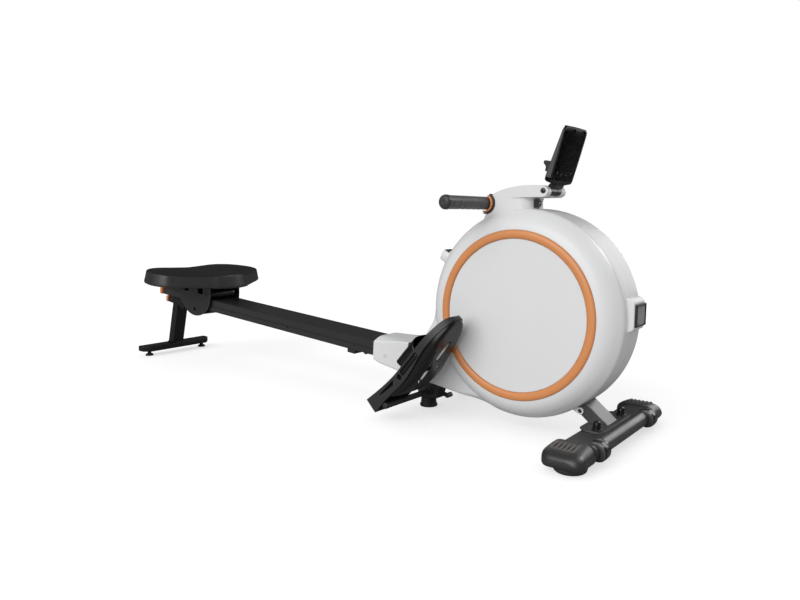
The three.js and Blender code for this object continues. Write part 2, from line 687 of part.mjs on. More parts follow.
// ---------- device holder ----------
function holderHinge() {
  const barrelHalf = neck.forkIn - fit;
  const barrel = turnedY([
    [0, -41], [holder.trunnion, -41], [holder.trunnion, -barrelHalf], [holder.barrel, -barrelHalf],
    [holder.barrel, barrelHalf], [holder.trunnion, barrelHalf], [holder.trunnion, 41], [0, 41],
  ], 0, 0, 24);
  const stem = [[-6, 5], [8, 5], [14, 22], [14, holderPlate.bottom - fit],
    [1.5, holderPlate.bottom - fit], [-4, 18]];
  return barrel.add(sideSlab(stem, [-13, 13]));
}
add('holder_hinge', holderHinge(), blackPlastic, holderGroup);

// A sprung ledge below and a fixed lip above grip a phone laid across the plate.
const clipSlot = { half: 5, from: 36, to: 72 };
const ledge = { half: 55, height: 20, reach: 14 };
const lipReach = 10;

function deviceHolder() {
  const { back, bottom, height, thick, thin } = holderPlate;
  const top = bottom + height;
  const side = [
    [back, bottom], [back, top, 2], [back - thin - lipReach, top, 2], [back - thin - lipReach, top - 3.5,
    1.5],
    [back - thin, top - 3.5], [back - thick, bottom + 12], [back - thick, bottom, 3],
  ];
  const face = [
    [-holder.halfWidth, bottom, 8], [holder.halfWidth, bottom, 8], [holder.halfWidth, top + 1, 12],
    [-holder.halfWidth, top + 1, 12],
  ];
  return sideSlab(side, [-holder.halfWidth, holder.halfWidth])
    .intersect(crossSlab(face, [-20, 40]))
    .subtract(box([-20, 40], [-clipSlot.half, clipSlot.half], [clipSlot.from, clipSlot.to]));
}
add('device_holder', deviceHolder(), blackPlastic, holderGroup);

function holderClip() {
  const { back, bottom, height, thick, thin } = holderPlate;
  const high = clipSlot.to - fit;
  const low = high - ledge.height;
  const frontAt = (z) => back - thick + (thick - thin) * Math.max(z - bottom - 12, 0) / (height - 15.5);
  const jaw = sideSlab([
    [frontAt(clipSlot.from) - fit, low], [frontAt(clipSlot.from) - fit, high],
    [frontAt(high) - ledge.reach, high, 2],
    [frontAt(high) - ledge.reach, high - 5, 2], [frontAt(low) - 5, high - 9], [frontAt(low) - 5, low],
  ], [-ledge.half, ledge.half]);
  return jaw.add(box([frontAt(low) - 4, back - 1], [fit - clipSlot.half, clipSlot.half - fit],
    [low, high]));
}
add('holder_clip', holderClip(), greyPlastic, holderGroup);

// ---------- pedals, straps and what carries them ----------
const pedalMatrix = new THREE.Matrix4().makeRotationY(-pedal.rake).setPosition(pedal.x, 0, pedal.z);
const pedalWidth = (side, inset) => span(side, pedal.near + inset, pedalFar - inset);

// The pedal seen along its plate's normal: a square heel and a round toe.
function pedalPlan(side, inset) {
  const near = pedal.near + inset;
  const far = pedalFar - inset;
  const corners = [
    [-150, near], [150, near], [190 - inset, near + 7], [209 - inset, near + 21], [219 - inset, near + 42],
    [219 - inset, far - 42], [209 - inset, far - 20], [190 - inset, far - 7], [150, far], [-150, far],
  ];
  return corners.map(([x, y]) => [x, side * y]);
}

function pedalSolid(side) {
  const top = [[219, 0, 2], [200, 5.5], [147, 13.5], [70, 15.5], [-5, 14], [-67, 20], [-131, 31, 3]];
  const heel = [[-134, -10.5, 3], [-90, -10.5], [-67, -12]];
  const wallEdge = [[-23, -16], [29, -16], [94, -5], [135, -2], [219, -4, 2]];
  const belly = [[-21, -30], [13, -34], [64, -33], [117, -23], [154, -12], [190, -6]];
  let solid = sideSlab([...top, ...heel, ...wallEdge], pedalWidth(side, 0));
  solid = solid.add(sideSlab([...top, ...heel, [-62, -18], ...belly, [219, -4, 2]], pedalWidth(side, 7)));
  solid = solid.intersect(planSlab(pedalPlan(side, 0), [-60, 60]));
  const hollow = [
    [204, 0], [147, 8.5], [70, 10.5], [-5, 9], [-60, 14], [-60, -12], [-21, -25], [13, -29.5],
    [64, -28.5], [115, -18], [152, -7],
  ];
  const cavity = sideSlab(hollow, pedalWidth(side, 7 + pedal.wall)).intersect(planSlab(pedalPlan(side,
    pedal.wall), [-60, 60]));
  solid = solid.subtract(cavity);
  for (const x of [[48, 112], [-42, 22]]) {
    const y = side < 0 ? [-140, -134] : [134, 140];
    solid = solid.subtract(box(x, y, [-45, 40]));
  }
  const legs = [pedalStrap.inset, pedalFar - pedal.near - pedalStrap.inset - pedalStrap.thickness];
  for (const leg of legs) {
    const y = span(side, pedal.near + leg - fit, pedal.near + leg + pedalStrap.thickness + fit);
    solid = solid.subtract(box([pedalStrap.from - fit, pedalStrap.to + fit], y, [4, 40]));
  }
  solid = solid.add(rodY(axleRadius + 5, pedalWidth(side, 2), 0, 0));
  return solid.subtract(rodY(axleRadius + fit, pedalWidth(side, -5), 0, 0));
}

// The strap stands over the plate in a low arch, with both ends in the plate's slots.
function footStrap(side) {
  const half = (pedalFar - pedal.near) / 2 - pedalStrap.inset;
  const centre = side * (pedalFar + pedal.near) / 2;
  const base = 16;
  const foot = 5.5;
  const steps = 10;
  const arch = (grow) => Array.from({ length: steps + 1 }, (_, i) => {
    const angle = Math.PI * i / steps;
    const square = (value) => Math.sign(value) * Math.sqrt(Math.abs(value));
    return [
      centre + (half - pedalStrap.thickness + grow) * square(Math.cos(angle)),
      base + (pedalStrap.height - pedalStrap.thickness + grow) * square(Math.sin(angle)),
    ];
  });
  const outer = arch(pedalStrap.thickness);
  const inner = arch(0);
  const ends = (points) => [[points[0][0], foot], ...points, [points[steps][0], foot]];
  return crossSlab([...ends(outer), ...ends(inner).reverse()], [pedalStrap.from, pedalStrap.to]);
}

for (const [word, side] of sides) {
  for (const [name, solid, material] of [
    [`pedal_${word}`, pedalSolid(side), blackPlastic],
    [`foot_strap_${word}`, footStrap(side), rubber],
  ]) {
    const mesh = add(name, solid, material);
    mesh.applyMatrix4(pedalMatrix);
  }
}
add('pedal_axle', rodY(axleRadius, [2 - pedalFar, pedalFar - 2], pedal.x, pedal.z), steel);
add('pedal_crossbar', rodY(crossbar.radius, [-crossbar.half, crossbar.half], crossbar.x, crossbar.z),
  blackPaint);

function footBracket() {
  const top = (x) => [x, tailBottom(x) - fit];
  const low = middleFoot.height + fit;
  const side = [
    top(fold.x + 8), top(fold.x + 84), [fold.x + 72, crossbar.z + 11.5, 5], [fold.x + 62, low, 4], [fold.x + 6, low, 4],
    [fold.x - 2, crossbar.z - 0.5, 4],
  ];
  const latch = { x: fold.x + 98, y: 12, z: crossbar.z - 10.5 };
  return sideSlab(side, [-20, 20])
    .add(rodX(4, [fold.x + 55, latch.x + 2], latch.y, latch.z))
    .add(rodY(7, [latch.y - 10, latch.y + 14], latch.x, latch.z, 16))
    .subtract(rodY(crossbar.radius + fit, [-60, 60], crossbar.x, crossbar.z));
}
add('foot_bracket', footBracket(), blackPaint);
const footProfile = [
  [0, 0], [middleFoot.radius, 0], [middleFoot.radius, 4], [middleFoot.topRadius, middleFoot.height],
  [0, middleFoot.height],
];
add('middle_foot', turnedZ(footProfile, middleFoot.x, 0), rubber);

// ---------- front stabiliser ----------
function stabiliserBeam() {
  const { rear, front, bottom, top, half } = beam;
  let solid = sideSlab([[rear, bottom, 8], [front, bottom, 16], [front, top, 18], [rear, top, 8]],
    [-half, half], 5);
  for (const [, side] of sides) {
    const slot = span(side, wheel.y - wheel.half - 1, wheel.y + wheel.half + 1);
    solid = solid.subtract(rodY(wheel.radius + 3, slot, wheel.x, wheel.z, 28));
    solid = solid.add(rodY(wheel.pin, [slot[0] - 3, slot[1] + 3], wheel.x, wheel.z, 16));
    solid = solid.add(sideSlab([[230, 22], [258, 22, 6], [258, 46, 6], [230, 46]], [slot[0] - 8, slot[0]]));
    solid = solid.add(sideSlab([[230, 22], [258, 22, 6], [258, 46, 6], [230, 46]], [slot[1], slot[1] + 8]));
  }
  return solid;
}
add('stabiliser_beam', stabiliserBeam(), blackPaint);

for (const [word, side] of sides) {
  const { rear, front, bottom, top, half, round } = endCap;
  const y = span(side, beam.half + fit, half - round);
  const tip = span(side, half - round - 1, half);
  const section = (inset) => [
    [rear + inset, bottom + inset, 16], [front - inset, bottom + inset, 18],
    [front - inset, top - inset, 18], [rear + inset, top - inset, 14],
  ];
  const foot = [[178, 0, 4], [240, 0, 4], [240, 20], [178, 20]];
  const cap = sideSlab(section(0), y)
    .add(sideSlab(section(round * 0.6), tip))
    .add(sideSlab(foot, span(side, beam.half + fit, half - 12)));
  add(`stabiliser_end_${word}`, cap, blackPlastic);

  const tyre = [
    [wheel.pin + fit, -wheel.half], [wheel.radius - 2, -wheel.half], [wheel.radius, 3 - wheel.half],
    [wheel.radius, wheel.half - 3],
    [wheel.radius - 2, wheel.half], [wheel.pin + fit, wheel.half], [wheel.pin + fit, -wheel.half],
  ];
  const wheelMesh = add(`transport_wheel_${word}`, turnedY(tyre, 0, 0, 24), rubber);
  wheelMesh.position.set(wheel.x, side * wheel.y, wheel.z);
}

// ---------- fold joint ----------
add('fold_pin', rodY(fold.pin, [-fold.lugOut - 2, fold.lugOut + 2], fold.x, fold.z), steel);

const lockLocal = new THREE.Vector3(lockPin.x, 0, lockPin.z).applyMatrix4(railMatrix.clone().invert());

function railKnuckle() {
  const half = fold.lugIn - 0.5;
  const across = [-half, half];
  const low = rail.top - rail.height;
  return rodY(fold.barrel, across, 0, 0)
    .add(sideSlab([[-14, 4], [-2, 5.5], [-2, low], [rail.front + fit, low],
      [rail.front + fit, -10]], across))
    .add(sideSlab([[-8, lockLocal.z + 10], [lockLocal.x + 7, lockLocal.z + 10, 5],
      [lockLocal.x + 7, lockLocal.z - 9, 5],
      [-8, lockLocal.z - 9]], across))
    .subtract(rodY(fold.pin + fit, [-60, 60], 0, 0))
    .subtract(rodY(lockPin.radius + fit, [-60, 60], lockLocal.x, lockLocal.z));
}
add('rail_knuckle', railKnuckle(), blackPaint, railGroup);

function foldLockPin() {
  const { x, z, radius, tip, knobFrom, knobTo, knobRadius } = lockPin;
  return rodY(radius, [tip, knobFrom + 1], x, z, 16).add(rodY(knobRadius, [knobFrom, knobTo], x, z, 24));
}
add('fold_lock_pin', foldLockPin(), orangePlastic);

// ---------- rail, sleeve and end caps, square to the rail ----------
const railBottom = rail.top - rail.height;
const railSplit = rail.top - rail.split;

function railSolid() {
  const w = rail.halfWidth;
  const lip = w - rail.lip;
  const right = [
    [-w, railBottom], [-w, railSplit - 1.4], [-w + 2.2, railSplit], [-w, railSplit + 1.4], [-w, rail.top],
    [-lip - 1.5, rail.top], [-lip - 1, rail.top - 1.6], [-lip + 1, rail.top - 1.6], [-lip + 1.5, rail.top],
  ];
  const left = right.map(([y, z]) => [-y, z]).reverse();
  const inner = [rail.wall - w, w - rail.wall];
  const whole = crossSlab([...right, ...left], [rail.rear, rail.front]);
  const stop = box([stopBlock.from, stopBlock.to], [-stopBlock.halfWidth, stopBlock.halfWidth],
    [railBottom - stopBlock.height, railBottom + 1]);
  return whole
    .subtract(box([rail.rear - 10, rail.rear + rail.step], [-80, 80], [railBottom - 10, railSplit]))
    .subtract(box([rail.rear - 10, rail.front + 10], inner, [railSplit + rail.wall, rail.top - rail.wall]))
    .subtract(box([rail.rear - 10, rail.front + 10], inner, [railBottom + rail.wall,
      railSplit - rail.wall]))
    .add(stop);
}
add('rail', railSolid(), railMetal, railGroup);

function endPlug(x, halfWidth, z, boreZ) {
  const plate = crossSlab([
    [-halfWidth, z[0], 4], [halfWidth, z[0], 4], [halfWidth, z[1], 4], [-halfWidth, z[1], 4]], x);
  const bore = rail.halfWidth - rail.wall - fit;
  return plate.add(box([x[1] - 1, x[1] + 10], [-bore, bore], boreZ));
}
const capThickness = 13;
add('rail_end_cap', endPlug([rail.rear - capThickness, rail.rear - fit], 65,
  [railSplit + 0.2, rail.top + 3.5],
  [railSplit + rail.wall + fit, rail.top - rail.wall - fit]), orangePlastic, railGroup);
const lowerEnd = rail.rear + rail.step;
add('stand_cap', endPlug([lowerEnd - capThickness, lowerEnd - fit], 62, [railBottom - 5, railSplit - fit],
  [railBottom + rail.wall + fit, railSplit - rail.wall - fit]), orangePlastic, railGroup);

function railSleeve() {
  const { halfWidth, mouth, wall } = sleeve;
  const crest = fold.depth;
  const side = (inset) => [
    [mouth, 1 - inset, 2], [-1, crest - inset], [-1, -84.5 + inset], [-42, -80 + inset],
    [-110, -74 + inset, 6], [mouth, -58 - inset, 4],
  ];
  const creaseLow = -11.5;
  const creaseSlope = 20.1 / 109.9;
  const shoulder = (y, inset) => crossSlab([
    [-y, -110], [y, -110], [y, -inset, 3], [y - 24, 10 - inset, 6], [24 - y, 10 - inset, 6],
    [-y, -inset, 3],
  ], [-10, 160]);
  const tilt = new THREE.Matrix4().makeRotationY(-Math.atan(creaseSlope)).setPosition(mouth, 0, creaseLow);
  const outer = sideSlab(side(0), [-halfWidth, halfWidth]).intersect(moved(shoulder(halfWidth, 0), tilt));
  const roof = (x) => [x, crest - wall + (x + 1) * (crest - 1) / (-1 - mouth)];
  const innerSide = [roof(mouth + 9), roof(10), [10, -84.5 + wall], [-42, -80 + wall], [mouth + 9, -70]];
  const inner = sideSlab(innerSide, [wall - halfWidth,
    halfWidth - wall]).intersect(moved(shoulder(halfWidth - wall, wall), tilt));
  const tight = box([mouth - 5, mouth + 20], [-rail.halfWidth - fit, rail.halfWidth + fit],
    [railBottom - fit, rail.top + fit]);
  return outer.subtract(inner).subtract(tight);
}
add('rail_sleeve', railSleeve(), whitePlastic, railGroup);

// ---------- stand under the rear of the rail ----------
function standPost() {
  const half = stand.postX / 2;
  const seat = railBottom - 7;
  const topX = saddle.rear - 7;
  const bottomZ = stand.barTop + fit;
  const post = sideSlab([
    [stand.foot - half, bottomZ], [stand.foot + half, bottomZ], fromRail(topX + half, seat),
    fromRail(topX - half, seat),
  ], [-stand.postY / 2, stand.postY / 2]);
  const { rear, length: long, thickness } = saddle;
  const front = rear + long;
  const cheekIn = rail.halfWidth + fit;
  const cheekOut = cheekIn + thickness;
  const across = [-cheekIn + 16, cheekIn - 16];
  let bracket = box([rear, front], [-cheekOut, cheekOut], [railBottom - 4, railBottom - fit]);
  bracket = bracket.add(box([topX - half - 4, rear + 6], across, [railBottom - 9, railBottom - 5.3]));
  bracket = bracket.add(box([rear, rear + 6], across, [railBottom - 9, railBottom - 3]));
  const cheek = [
    [rear, railBottom - 4], [front - 8, railBottom - 16, 6], [front, railBottom - 6, 4],
    [front, railSplit - 3, 8],
    [rear, railSplit - 3, 4],
  ];
  for (const [, side] of sides) bracket = bracket.add(sideSlab(cheek, span(side, cheekIn, cheekOut)));
  return post.add(moved(bracket, railMatrix));
}
add('stand_post', standPost(), blackPaint);

function standBar() {
  const { foot, barWidth, barHalf, barTop, barBottom } = stand;
  const rear = foot - barWidth / 2;
  const front = foot + barWidth / 2;
  const corners = [
    [rear, -barHalf, 4], [foot + 3, -barHalf, 3], [front, -barHalf + 23, 4], [front, barHalf - 23, 4],
    [foot + 3, barHalf, 3],
    [rear, barHalf, 4],
  ];
  let bar = planSlab(corners, [barBottom, barTop], 2);
  for (const [, side] of sides) {
    const hole = level.stud + fit;
    const depth = [[0, 0], [hole, 0], [hole, level.studTop + 1], [0, level.studTop + 1]];
    bar = bar.subtract(turnedZ(depth, foot, side * level.y, 16));
  }
  return bar;
}
add('stand_bar', standBar(), blackPaint);

for (const [word, side] of sides) {
  const profile = [
    [0, 0], [level.padRadius, 0], [level.padRadius, 3], [level.padRadius - 4, 8], [level.stud, 11],
    [level.stud, level.studTop],
    [0, level.studTop],
  ];
  const mesh = add(`levelling_foot_${word}`, turnedZ(profile, 0, 0, 16), rubber);
  mesh.position.set(stand.foot, side * level.y, 0);
}

// ---------- seat carriage, square to the rail ----------
const rollerZ = rail.top + fit + roller.radius;
const keeperZ = railBottom - fit - keeper.radius;

function sidePlate(side) {
  const corners = [
    [-909, carriage.top], [-909, -12], [-914, -33], [-929, -51], [-950, -67], [-975, -79],
    [-1003, -84.5], [-1030, -80],
    [-1052, -69], [-1075, -52], [-1092, -35], [-1104, -15], [-1112, 5], [-1112, carriage.top],
  ];
  const y = span(side, carriage.plateIn, carriage.plateIn + carriage.plate);
  let plate = sideSlab(corners, y);
  for (const x of [roller.front, roller.rear]) plate = plate.subtract(rodY(roller.journal + fit,
    [-80, 80], x, rollerZ, 16));
  plate = plate.subtract(rodY(keeper.journal + fit, [-80, 80], keeper.x, keeperZ, 16));
  plate = plate.subtract(box([-985, -956], [-80, 80], [2, 22]));
  return plate.subtract(box([-1072, -1044], [-80, 80], [4, 20]));
}

function trackRoller(radius, half, journal) {
  const end = carriage.plateIn + carriage.plate - 0.5;
  return turnedY([
    [0, -end], [journal, -end], [journal, -half - 3], [radius - 4, -half - 3], [radius, -half],
    [radius, half],
    [radius - 4, half + 3], [journal, half + 3], [journal, end], [0, end],
  ], 0, 0, 20);
}

for (const [word, side] of sides) add(`side_plate_${word}`, sidePlate(side), blackPaint, railGroup);
for (const [name, x, z, shape] of [
  ['front_roller', roller.front, rollerZ, roller], ['rear_roller', roller.rear, rollerZ, roller],
  ['keeper_roller', keeper.x, keeperZ, keeper],
]) {
  const mesh = add(name, trackRoller(shape.radius, shape.half, shape.journal), rubber, railGroup);
  mesh.position.set(x, 0, z);
}

const seatBaseZ = [carriage.top + fit, carriage.top + fit + carriage.seatBase];
const plateOuter = carriage.plateIn + carriage.plate;
const seatBase = planSlab([
  [-1112, -plateOuter - 6, 6], [-905, -plateOuter - 6, 6], [-905, plateOuter + 6, 6],
  [-1112, plateOuter + 6, 6],
], seatBaseZ);
add('seat_base', seatBase, blackPaint, railGroup);

function seatSolid() {
  const half = (inset) => [
    [-843 - inset, 0], [-847 - inset, 30], [-858 - inset, 58 - inset / 2],
    [-879 - inset * 0.7, 85 - inset * 0.7],
    [-917 - inset * 0.7, 137 - inset * 0.7], [-945 - inset * 0.7, 175 - inset * 0.7],
    [-975 - inset / 2, 208 - inset],
    [-1020, 223 - inset], [-1060, 221 - inset], [-1107 + inset / 2, 206 - inset],
    [-1140 + inset, 182 - inset / 2],
    [-1164 + inset, 145], [-1170 + inset, 110], [-1166 + inset, 70], [-1158 + inset, 30],
    [-1156 + inset, 0],
  ];
  const whole = (inset) => [...half(inset), ...half(inset).slice(1, -1).reverse().map(([x, y]) => [x, -y])];
  const { skirt, height, inset } = seatSize;
  const bottom = seatBaseZ[1] + fit;
  return planSlab(whole(0), [bottom, bottom + skirt]).add(planSlab(whole(inset),
    [bottom + skirt - 1, bottom + height]));
}
add('seat', seatSolid(), vinyl, railGroup);

export default machine;
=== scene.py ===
import json
import math

import bpy
from mathutils import Matrix, Vector


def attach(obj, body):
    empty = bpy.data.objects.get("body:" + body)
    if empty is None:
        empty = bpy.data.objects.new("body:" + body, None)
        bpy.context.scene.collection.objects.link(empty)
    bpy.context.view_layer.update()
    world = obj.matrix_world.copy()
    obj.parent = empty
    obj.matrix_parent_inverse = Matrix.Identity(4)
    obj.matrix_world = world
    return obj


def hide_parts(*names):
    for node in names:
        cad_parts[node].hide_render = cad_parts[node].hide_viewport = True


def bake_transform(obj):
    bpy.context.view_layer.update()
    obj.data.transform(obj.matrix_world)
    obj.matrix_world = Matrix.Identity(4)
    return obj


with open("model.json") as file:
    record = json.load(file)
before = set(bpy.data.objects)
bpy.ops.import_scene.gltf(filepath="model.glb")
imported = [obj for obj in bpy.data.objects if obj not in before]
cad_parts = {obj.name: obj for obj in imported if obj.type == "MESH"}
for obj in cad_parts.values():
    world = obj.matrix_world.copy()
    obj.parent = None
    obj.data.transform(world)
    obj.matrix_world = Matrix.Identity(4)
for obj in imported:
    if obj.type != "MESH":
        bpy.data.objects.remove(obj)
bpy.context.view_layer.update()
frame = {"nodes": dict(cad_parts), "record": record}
print("frame loaded:", len(frame["nodes"]), "nodes")

# Lengths below are millimetres; helpers turn them into metres.
mm = 0.001
drumFrame = Matrix.Translation((0.6645, 0, 0))  # origin under the drum's centre
railFrame = drumFrame @ Matrix.Translation((-0.340, 0, 0.180)) @ Matrix.Rotation(math.radians(4.45), 4, "Y")
pedalFrame = drumFrame @ Matrix.Translation((-0.251, 0, 0.133)) @ Matrix.Rotation(math.radians(-48.5), 4, "Y")
holderFrame = drumFrame @ Matrix.Translation((0.050, 0, 0.595)) @ Matrix.Rotation(math.radians(16.7), 4, "Y")
legInDrum = Matrix.Translation((0.1927, 0, 0.056)) @ Matrix.Rotation(math.radians(38.8), 4, "Y")
knobFrame = drumFrame @ Matrix.Translation((0, 0, 0.297)) @ Matrix.Rotation(math.radians(-62), 4, "Y")


# Camera.
camera = {"place": (1.4429, -1.4941, 0.5314), "towards": (-0.621, 0.774, -0.1224), "lens": 29.92}
cameraData = bpy.data.cameras.new("camera")
cameraData.lens = camera["lens"]
cameraData.sensor_width = 36
cameraObject = bpy.data.objects.new("camera", cameraData)
cameraObject.location = camera["place"]
cameraObject.rotation_mode = "QUATERNION"
cameraObject.rotation_quaternion = Vector(camera["towards"]).to_track_quat("-Z", "Y")
bpy.context.collection.objects.link(cameraObject)
bpy.context.scene.camera = cameraObject


# Making shapes.
def selectOnly(*things):
    bpy.ops.object.select_all(action="DESELECT")
    for thing in things:
        thing.select_set(True)
    bpy.context.view_layer.objects.active = things[0]


def rounded(corners, steps=5):
    # corners: (u, v) or (u, v, radius)
    points = []
    for i, corner in enumerate(corners):
        here = Vector(corner[:2])
        radius = corner[2] if len(corner) > 2 else 0
        if not radius:
            points.append(tuple(here))
            continue
        start = here + (Vector(corners[i - 1][:2]) - here).normalized() * radius
        end = here + (Vector(corners[(i + 1) % len(corners)][:2]) - here).normalized() * radius
        for k in range(steps + 1):
            t = k / steps
            points.append(tuple(start * (1 - t) ** 2 + here * 2 * t * (1 - t) + end * t ** 2))
    return points


def ringOf(name, points):
    # A closed loop of edges through the points, from a circle primitive.
    bpy.ops.object.select_all(action="DESELECT")
    bpy.ops.mesh.primitive_circle_add(vertices=len(points), radius=0.1, fill_type="NOTHING")
    piece = bpy.context.object
    piece.name = name
    piece.data.name = name
    for vertex, point in zip(piece.data.vertices, points):
        vertex.co = Vector(point) * mm
    return piece


def editAll(piece):
    # Goes into edit mode with everything selected.
    selectOnly(piece)
    bpy.ops.object.mode_set(mode="EDIT")
    bpy.ops.mesh.select_all(action="SELECT")


def faceOutwards():
    # Leaves edit mode with every face turned outwards.
    bpy.ops.mesh.select_all(action="SELECT")
    bpy.ops.mesh.normals_make_consistent(inside=False)
    bpy.ops.object.mode_set(mode="OBJECT")


def changed(piece, kind, **settings):
    # A modifier, applied at once.
    selectOnly(piece)
    step = piece.modifiers.new("step", kind)
    for label, value in settings.items():
        setattr(step, label, value)
    bpy.ops.object.modifier_apply(modifier="step")
    return piece


def place(piece, matrix):
    selectOnly(piece)
    piece.matrix_world = matrix
    bpy.ops.object.transform_apply(location=True, rotation=True, scale=True)
    return piece


def soften(piece, width, steps=2, angle=32):
    # Rounds the sharp edges.
    return changed(piece, "BEVEL", width=width * mm, segments=steps, limit_method="ANGLE",
                   angle_limit=math.radians(angle), use_clamp_overlap=True)


def selectFaces(piece, test):
    # Goes into edit mode with only the faces that pass the test selected.
    selectOnly(piece)
    bpy.ops.object.mode_set(mode="EDIT")
    bpy.ops.mesh.select_mode(type="FACE")
    bpy.ops.mesh.select_all(action="DESELECT")
    bpy.ops.object.mode_set(mode="OBJECT")
    for face in piece.data.polygons:
        face.select = test(face)
    bpy.ops.object.mode_set(mode="EDIT")


def smooth(piece, angle=35):
    selectOnly(piece)
    bpy.ops.object.shade_smooth_by_angle(angle=math.radians(angle))
    return changed(piece, "WEIGHTED_NORMAL", keep_sharp=True)  # keeps broad flat faces flat beside their bevels


def melted(piece, cell, passes=6):
    # Rebuilds the skin in small even cells and eases it, so that joins flow into each other.
    changed(piece, "REMESH", mode="VOXEL", voxel_size=cell * mm)
    changed(piece, "SMOOTH", factor=0.5, iterations=passes)
    bpy.ops.object.shade_smooth()
    return piece


def tidyMesh(piece):
    # Takes out doubled points and faces without area.
    gap = 1e-6
    editAll(piece)
    bpy.ops.mesh.remove_doubles(threshold=gap)
    bpy.ops.mesh.dissolve_degenerate(threshold=gap)
    bpy.ops.mesh.delete_loose(use_verts=True, use_edges=True, use_faces=False)
    faceOutwards()
    return piece


def prism(name, corners, axis, low, high, soft=0, steps=2, arcs=5):
    # An outline extruded along an axis. Outline pairs: Y axis (x, z), X axis (y, z), Z axis (x, y).
    flat = rounded(corners, arcs)
    lay = {"Y": lambda u, v: (u, low, v), "X": lambda u, v: (low, u, v), "Z": lambda u, v: (u, v, low)}[axis]
    move = {"Y": (0, 1, 0), "X": (1, 0, 0), "Z": (0, 0, 1)}[axis]
    piece = ringOf(name, [lay(u, v) for u, v in flat])
    editAll(piece)
    bpy.ops.mesh.edge_face_add()
    bpy.ops.mesh.extrude_region_move(TRANSFORM_OT_translate={"value": tuple(Vector(move) * (high - low) * mm)})
    faceOutwards()
    return soften(piece, soft, steps) if soft else piece


def block(name, x, y, z, soft=1, steps=2):
    return prism(name, [(x[0], z[0]), (x[1], z[0]), (x[1], z[1]), (x[0], z[1])], "Y", y[0], y[1], soft, steps)


def turned(name, profile, axis="Y", at=(0, 0, 0), steps=64):
    # A closed (radius, height) profile spun about an axis through a point.
    lay = {"Y": lambda r, h: (r, h, 0), "Z": lambda r, h: (r, 0, h), "X": lambda r, h: (h, r, 0)}[axis]
    about = {"Y": (0, 1, 0), "Z": (0, 0, 1), "X": (1, 0, 0)}[axis]
    piece = ringOf(name, [lay(r, h) for r, h in profile])
    editAll(piece)
    bpy.ops.mesh.spin(steps=steps, angle=2 * math.pi, center=(0, 0, 0), axis=about)
    bpy.ops.object.mode_set(mode="OBJECT")
    tidyMesh(piece)
    return place(piece, Matrix.Translation(Vector(at) * mm))


def bothEnds(profile):
    # The first half of a profile, followed by its mirror image.
    return profile + [(r, -h) for r, h in profile[::-1]]


def rod(name, radius, low, high, axis="Y", at=(0, 0, 0), steps=32):
    return turned(name, [(0, low), (radius, low), (radius, high), (0, high)], axis, at, steps)


def skin(name, rows, closed=True, capped=True):
    # A grid primitive laid over rows of points; closed rows join their ends.
    wide = len(rows[0]) + (1 if closed else 0)
    bpy.ops.object.select_all(action="DESELECT")
    bpy.ops.mesh.primitive_grid_add(x_subdivisions=wide - 1, y_subdivisions=len(rows) - 1, size=1)
    piece = bpy.context.object
    piece.name = name
    piece.data.name = name
    points = []
    for row in rows:
        points += list(row) + ([row[0]] if closed else [])
    for vertex, point in zip(piece.data.vertices, points):
        vertex.co = Vector(point) * mm
    editAll(piece)
    bpy.ops.mesh.remove_doubles(threshold=2e-6)
    if capped:
        bpy.ops.mesh.select_all(action="DESELECT")
        bpy.ops.mesh.select_non_manifold(extend=False, use_wire=False, use_boundary=True, use_multi_face=False,
                                         use_non_contiguous=False, use_verts=False)
        bpy.ops.mesh.fill_holes(sides=0)
    faceOutwards()
    return piece


def combine(piece, other, operation="DIFFERENCE"):
    # Cuts with, or adds, another solid, which is used up.
    changed(piece, "BOOLEAN", operation=operation, solver="MANIFOLD", object=other)
    bpy.data.objects.remove(other, do_unlink=True)
    return piece


def cutPrism(piece, corners, axis, low, high, arcs=5):
    return combine(piece, prism("cutter", corners, axis, low, high, arcs=arcs))


def cutBlock(piece, x, y, z, soft=0):
    return combine(piece, block("cutter", x, y, z, soft))


def cutRod(piece, radius, low, high, axis="Y", at=(0, 0, 0), steps=32):
    return combine(piece, rod("cutter", radius, low, high, axis, at, steps))


def joined(name, *parts):
    selectOnly(*parts)
    bpy.ops.object.join()
    piece = bpy.context.object
    piece.name = name
    piece.data.name = name
    return piece


def copied(piece, name, matrix=None):
    other = piece.copy()
    other.data = piece.data.copy()
    other.name = name
    other.data.name = name
    bpy.context.collection.objects.link(other)
    if matrix is not None:
        other.data.transform(matrix)
        if matrix.determinant() < 0:
            other.data.flip_normals()
    return other


acrossMiddle = Matrix.Scale(-1, 4, (0, 1, 0))  # the rower's left from the rower's right
sides = ((-1, "Right"), (1, "Left"))


def put(piece, where, body, slot, material, *nodes):
    # Sets a piece drawn in its own frame into place, on its body; nodes are the CAD nodes it stands for.
    place(piece, where)
    piece.data.materials.clear()
    piece.data.materials.append(material)
    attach(piece, body)
    if nodes:
        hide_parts(*nodes)
    return piece


def putPair(piece, where, body, slot, material, *nodes):
    # The same for a right piece and its mirror image; {} in a name stands for right or left.
    other = copied(piece, piece.name.replace("Right", "Left"), acrossMiddle)
    for thing, side in ((piece, "right"), (other, "left")):
        put(thing, where, body.format(side), slot, material, *(node.format(side) for node in nodes))
    return piece, other


def facing(at, axis):
    # Turns up into the axis, at a point.
    turn = Vector((0, 0, 1)).rotation_difference(Vector(axis)).to_matrix().to_4x4()
    return Matrix.Translation(Vector(at) * mm) @ turn


def screw(name, at, axis, radius=4.5, height=2.2, socket=2.2):
    # A domed cap screw with a six-sided socket, facing along the axis.
    profile = [(0, -1), (radius, -1), (radius, height * 0.45), (radius * 0.8, height * 0.85), (radius * 0.5, height),
               (0, height)]
    piece = turned(name, profile, "Z", steps=20)
    combine(piece, prism("hollow", arc((0, 0), socket, 0, 300, 5), "Z", height * 0.35, height + 2))
    smooth(piece, 40)
    return place(piece, facing(at, axis))


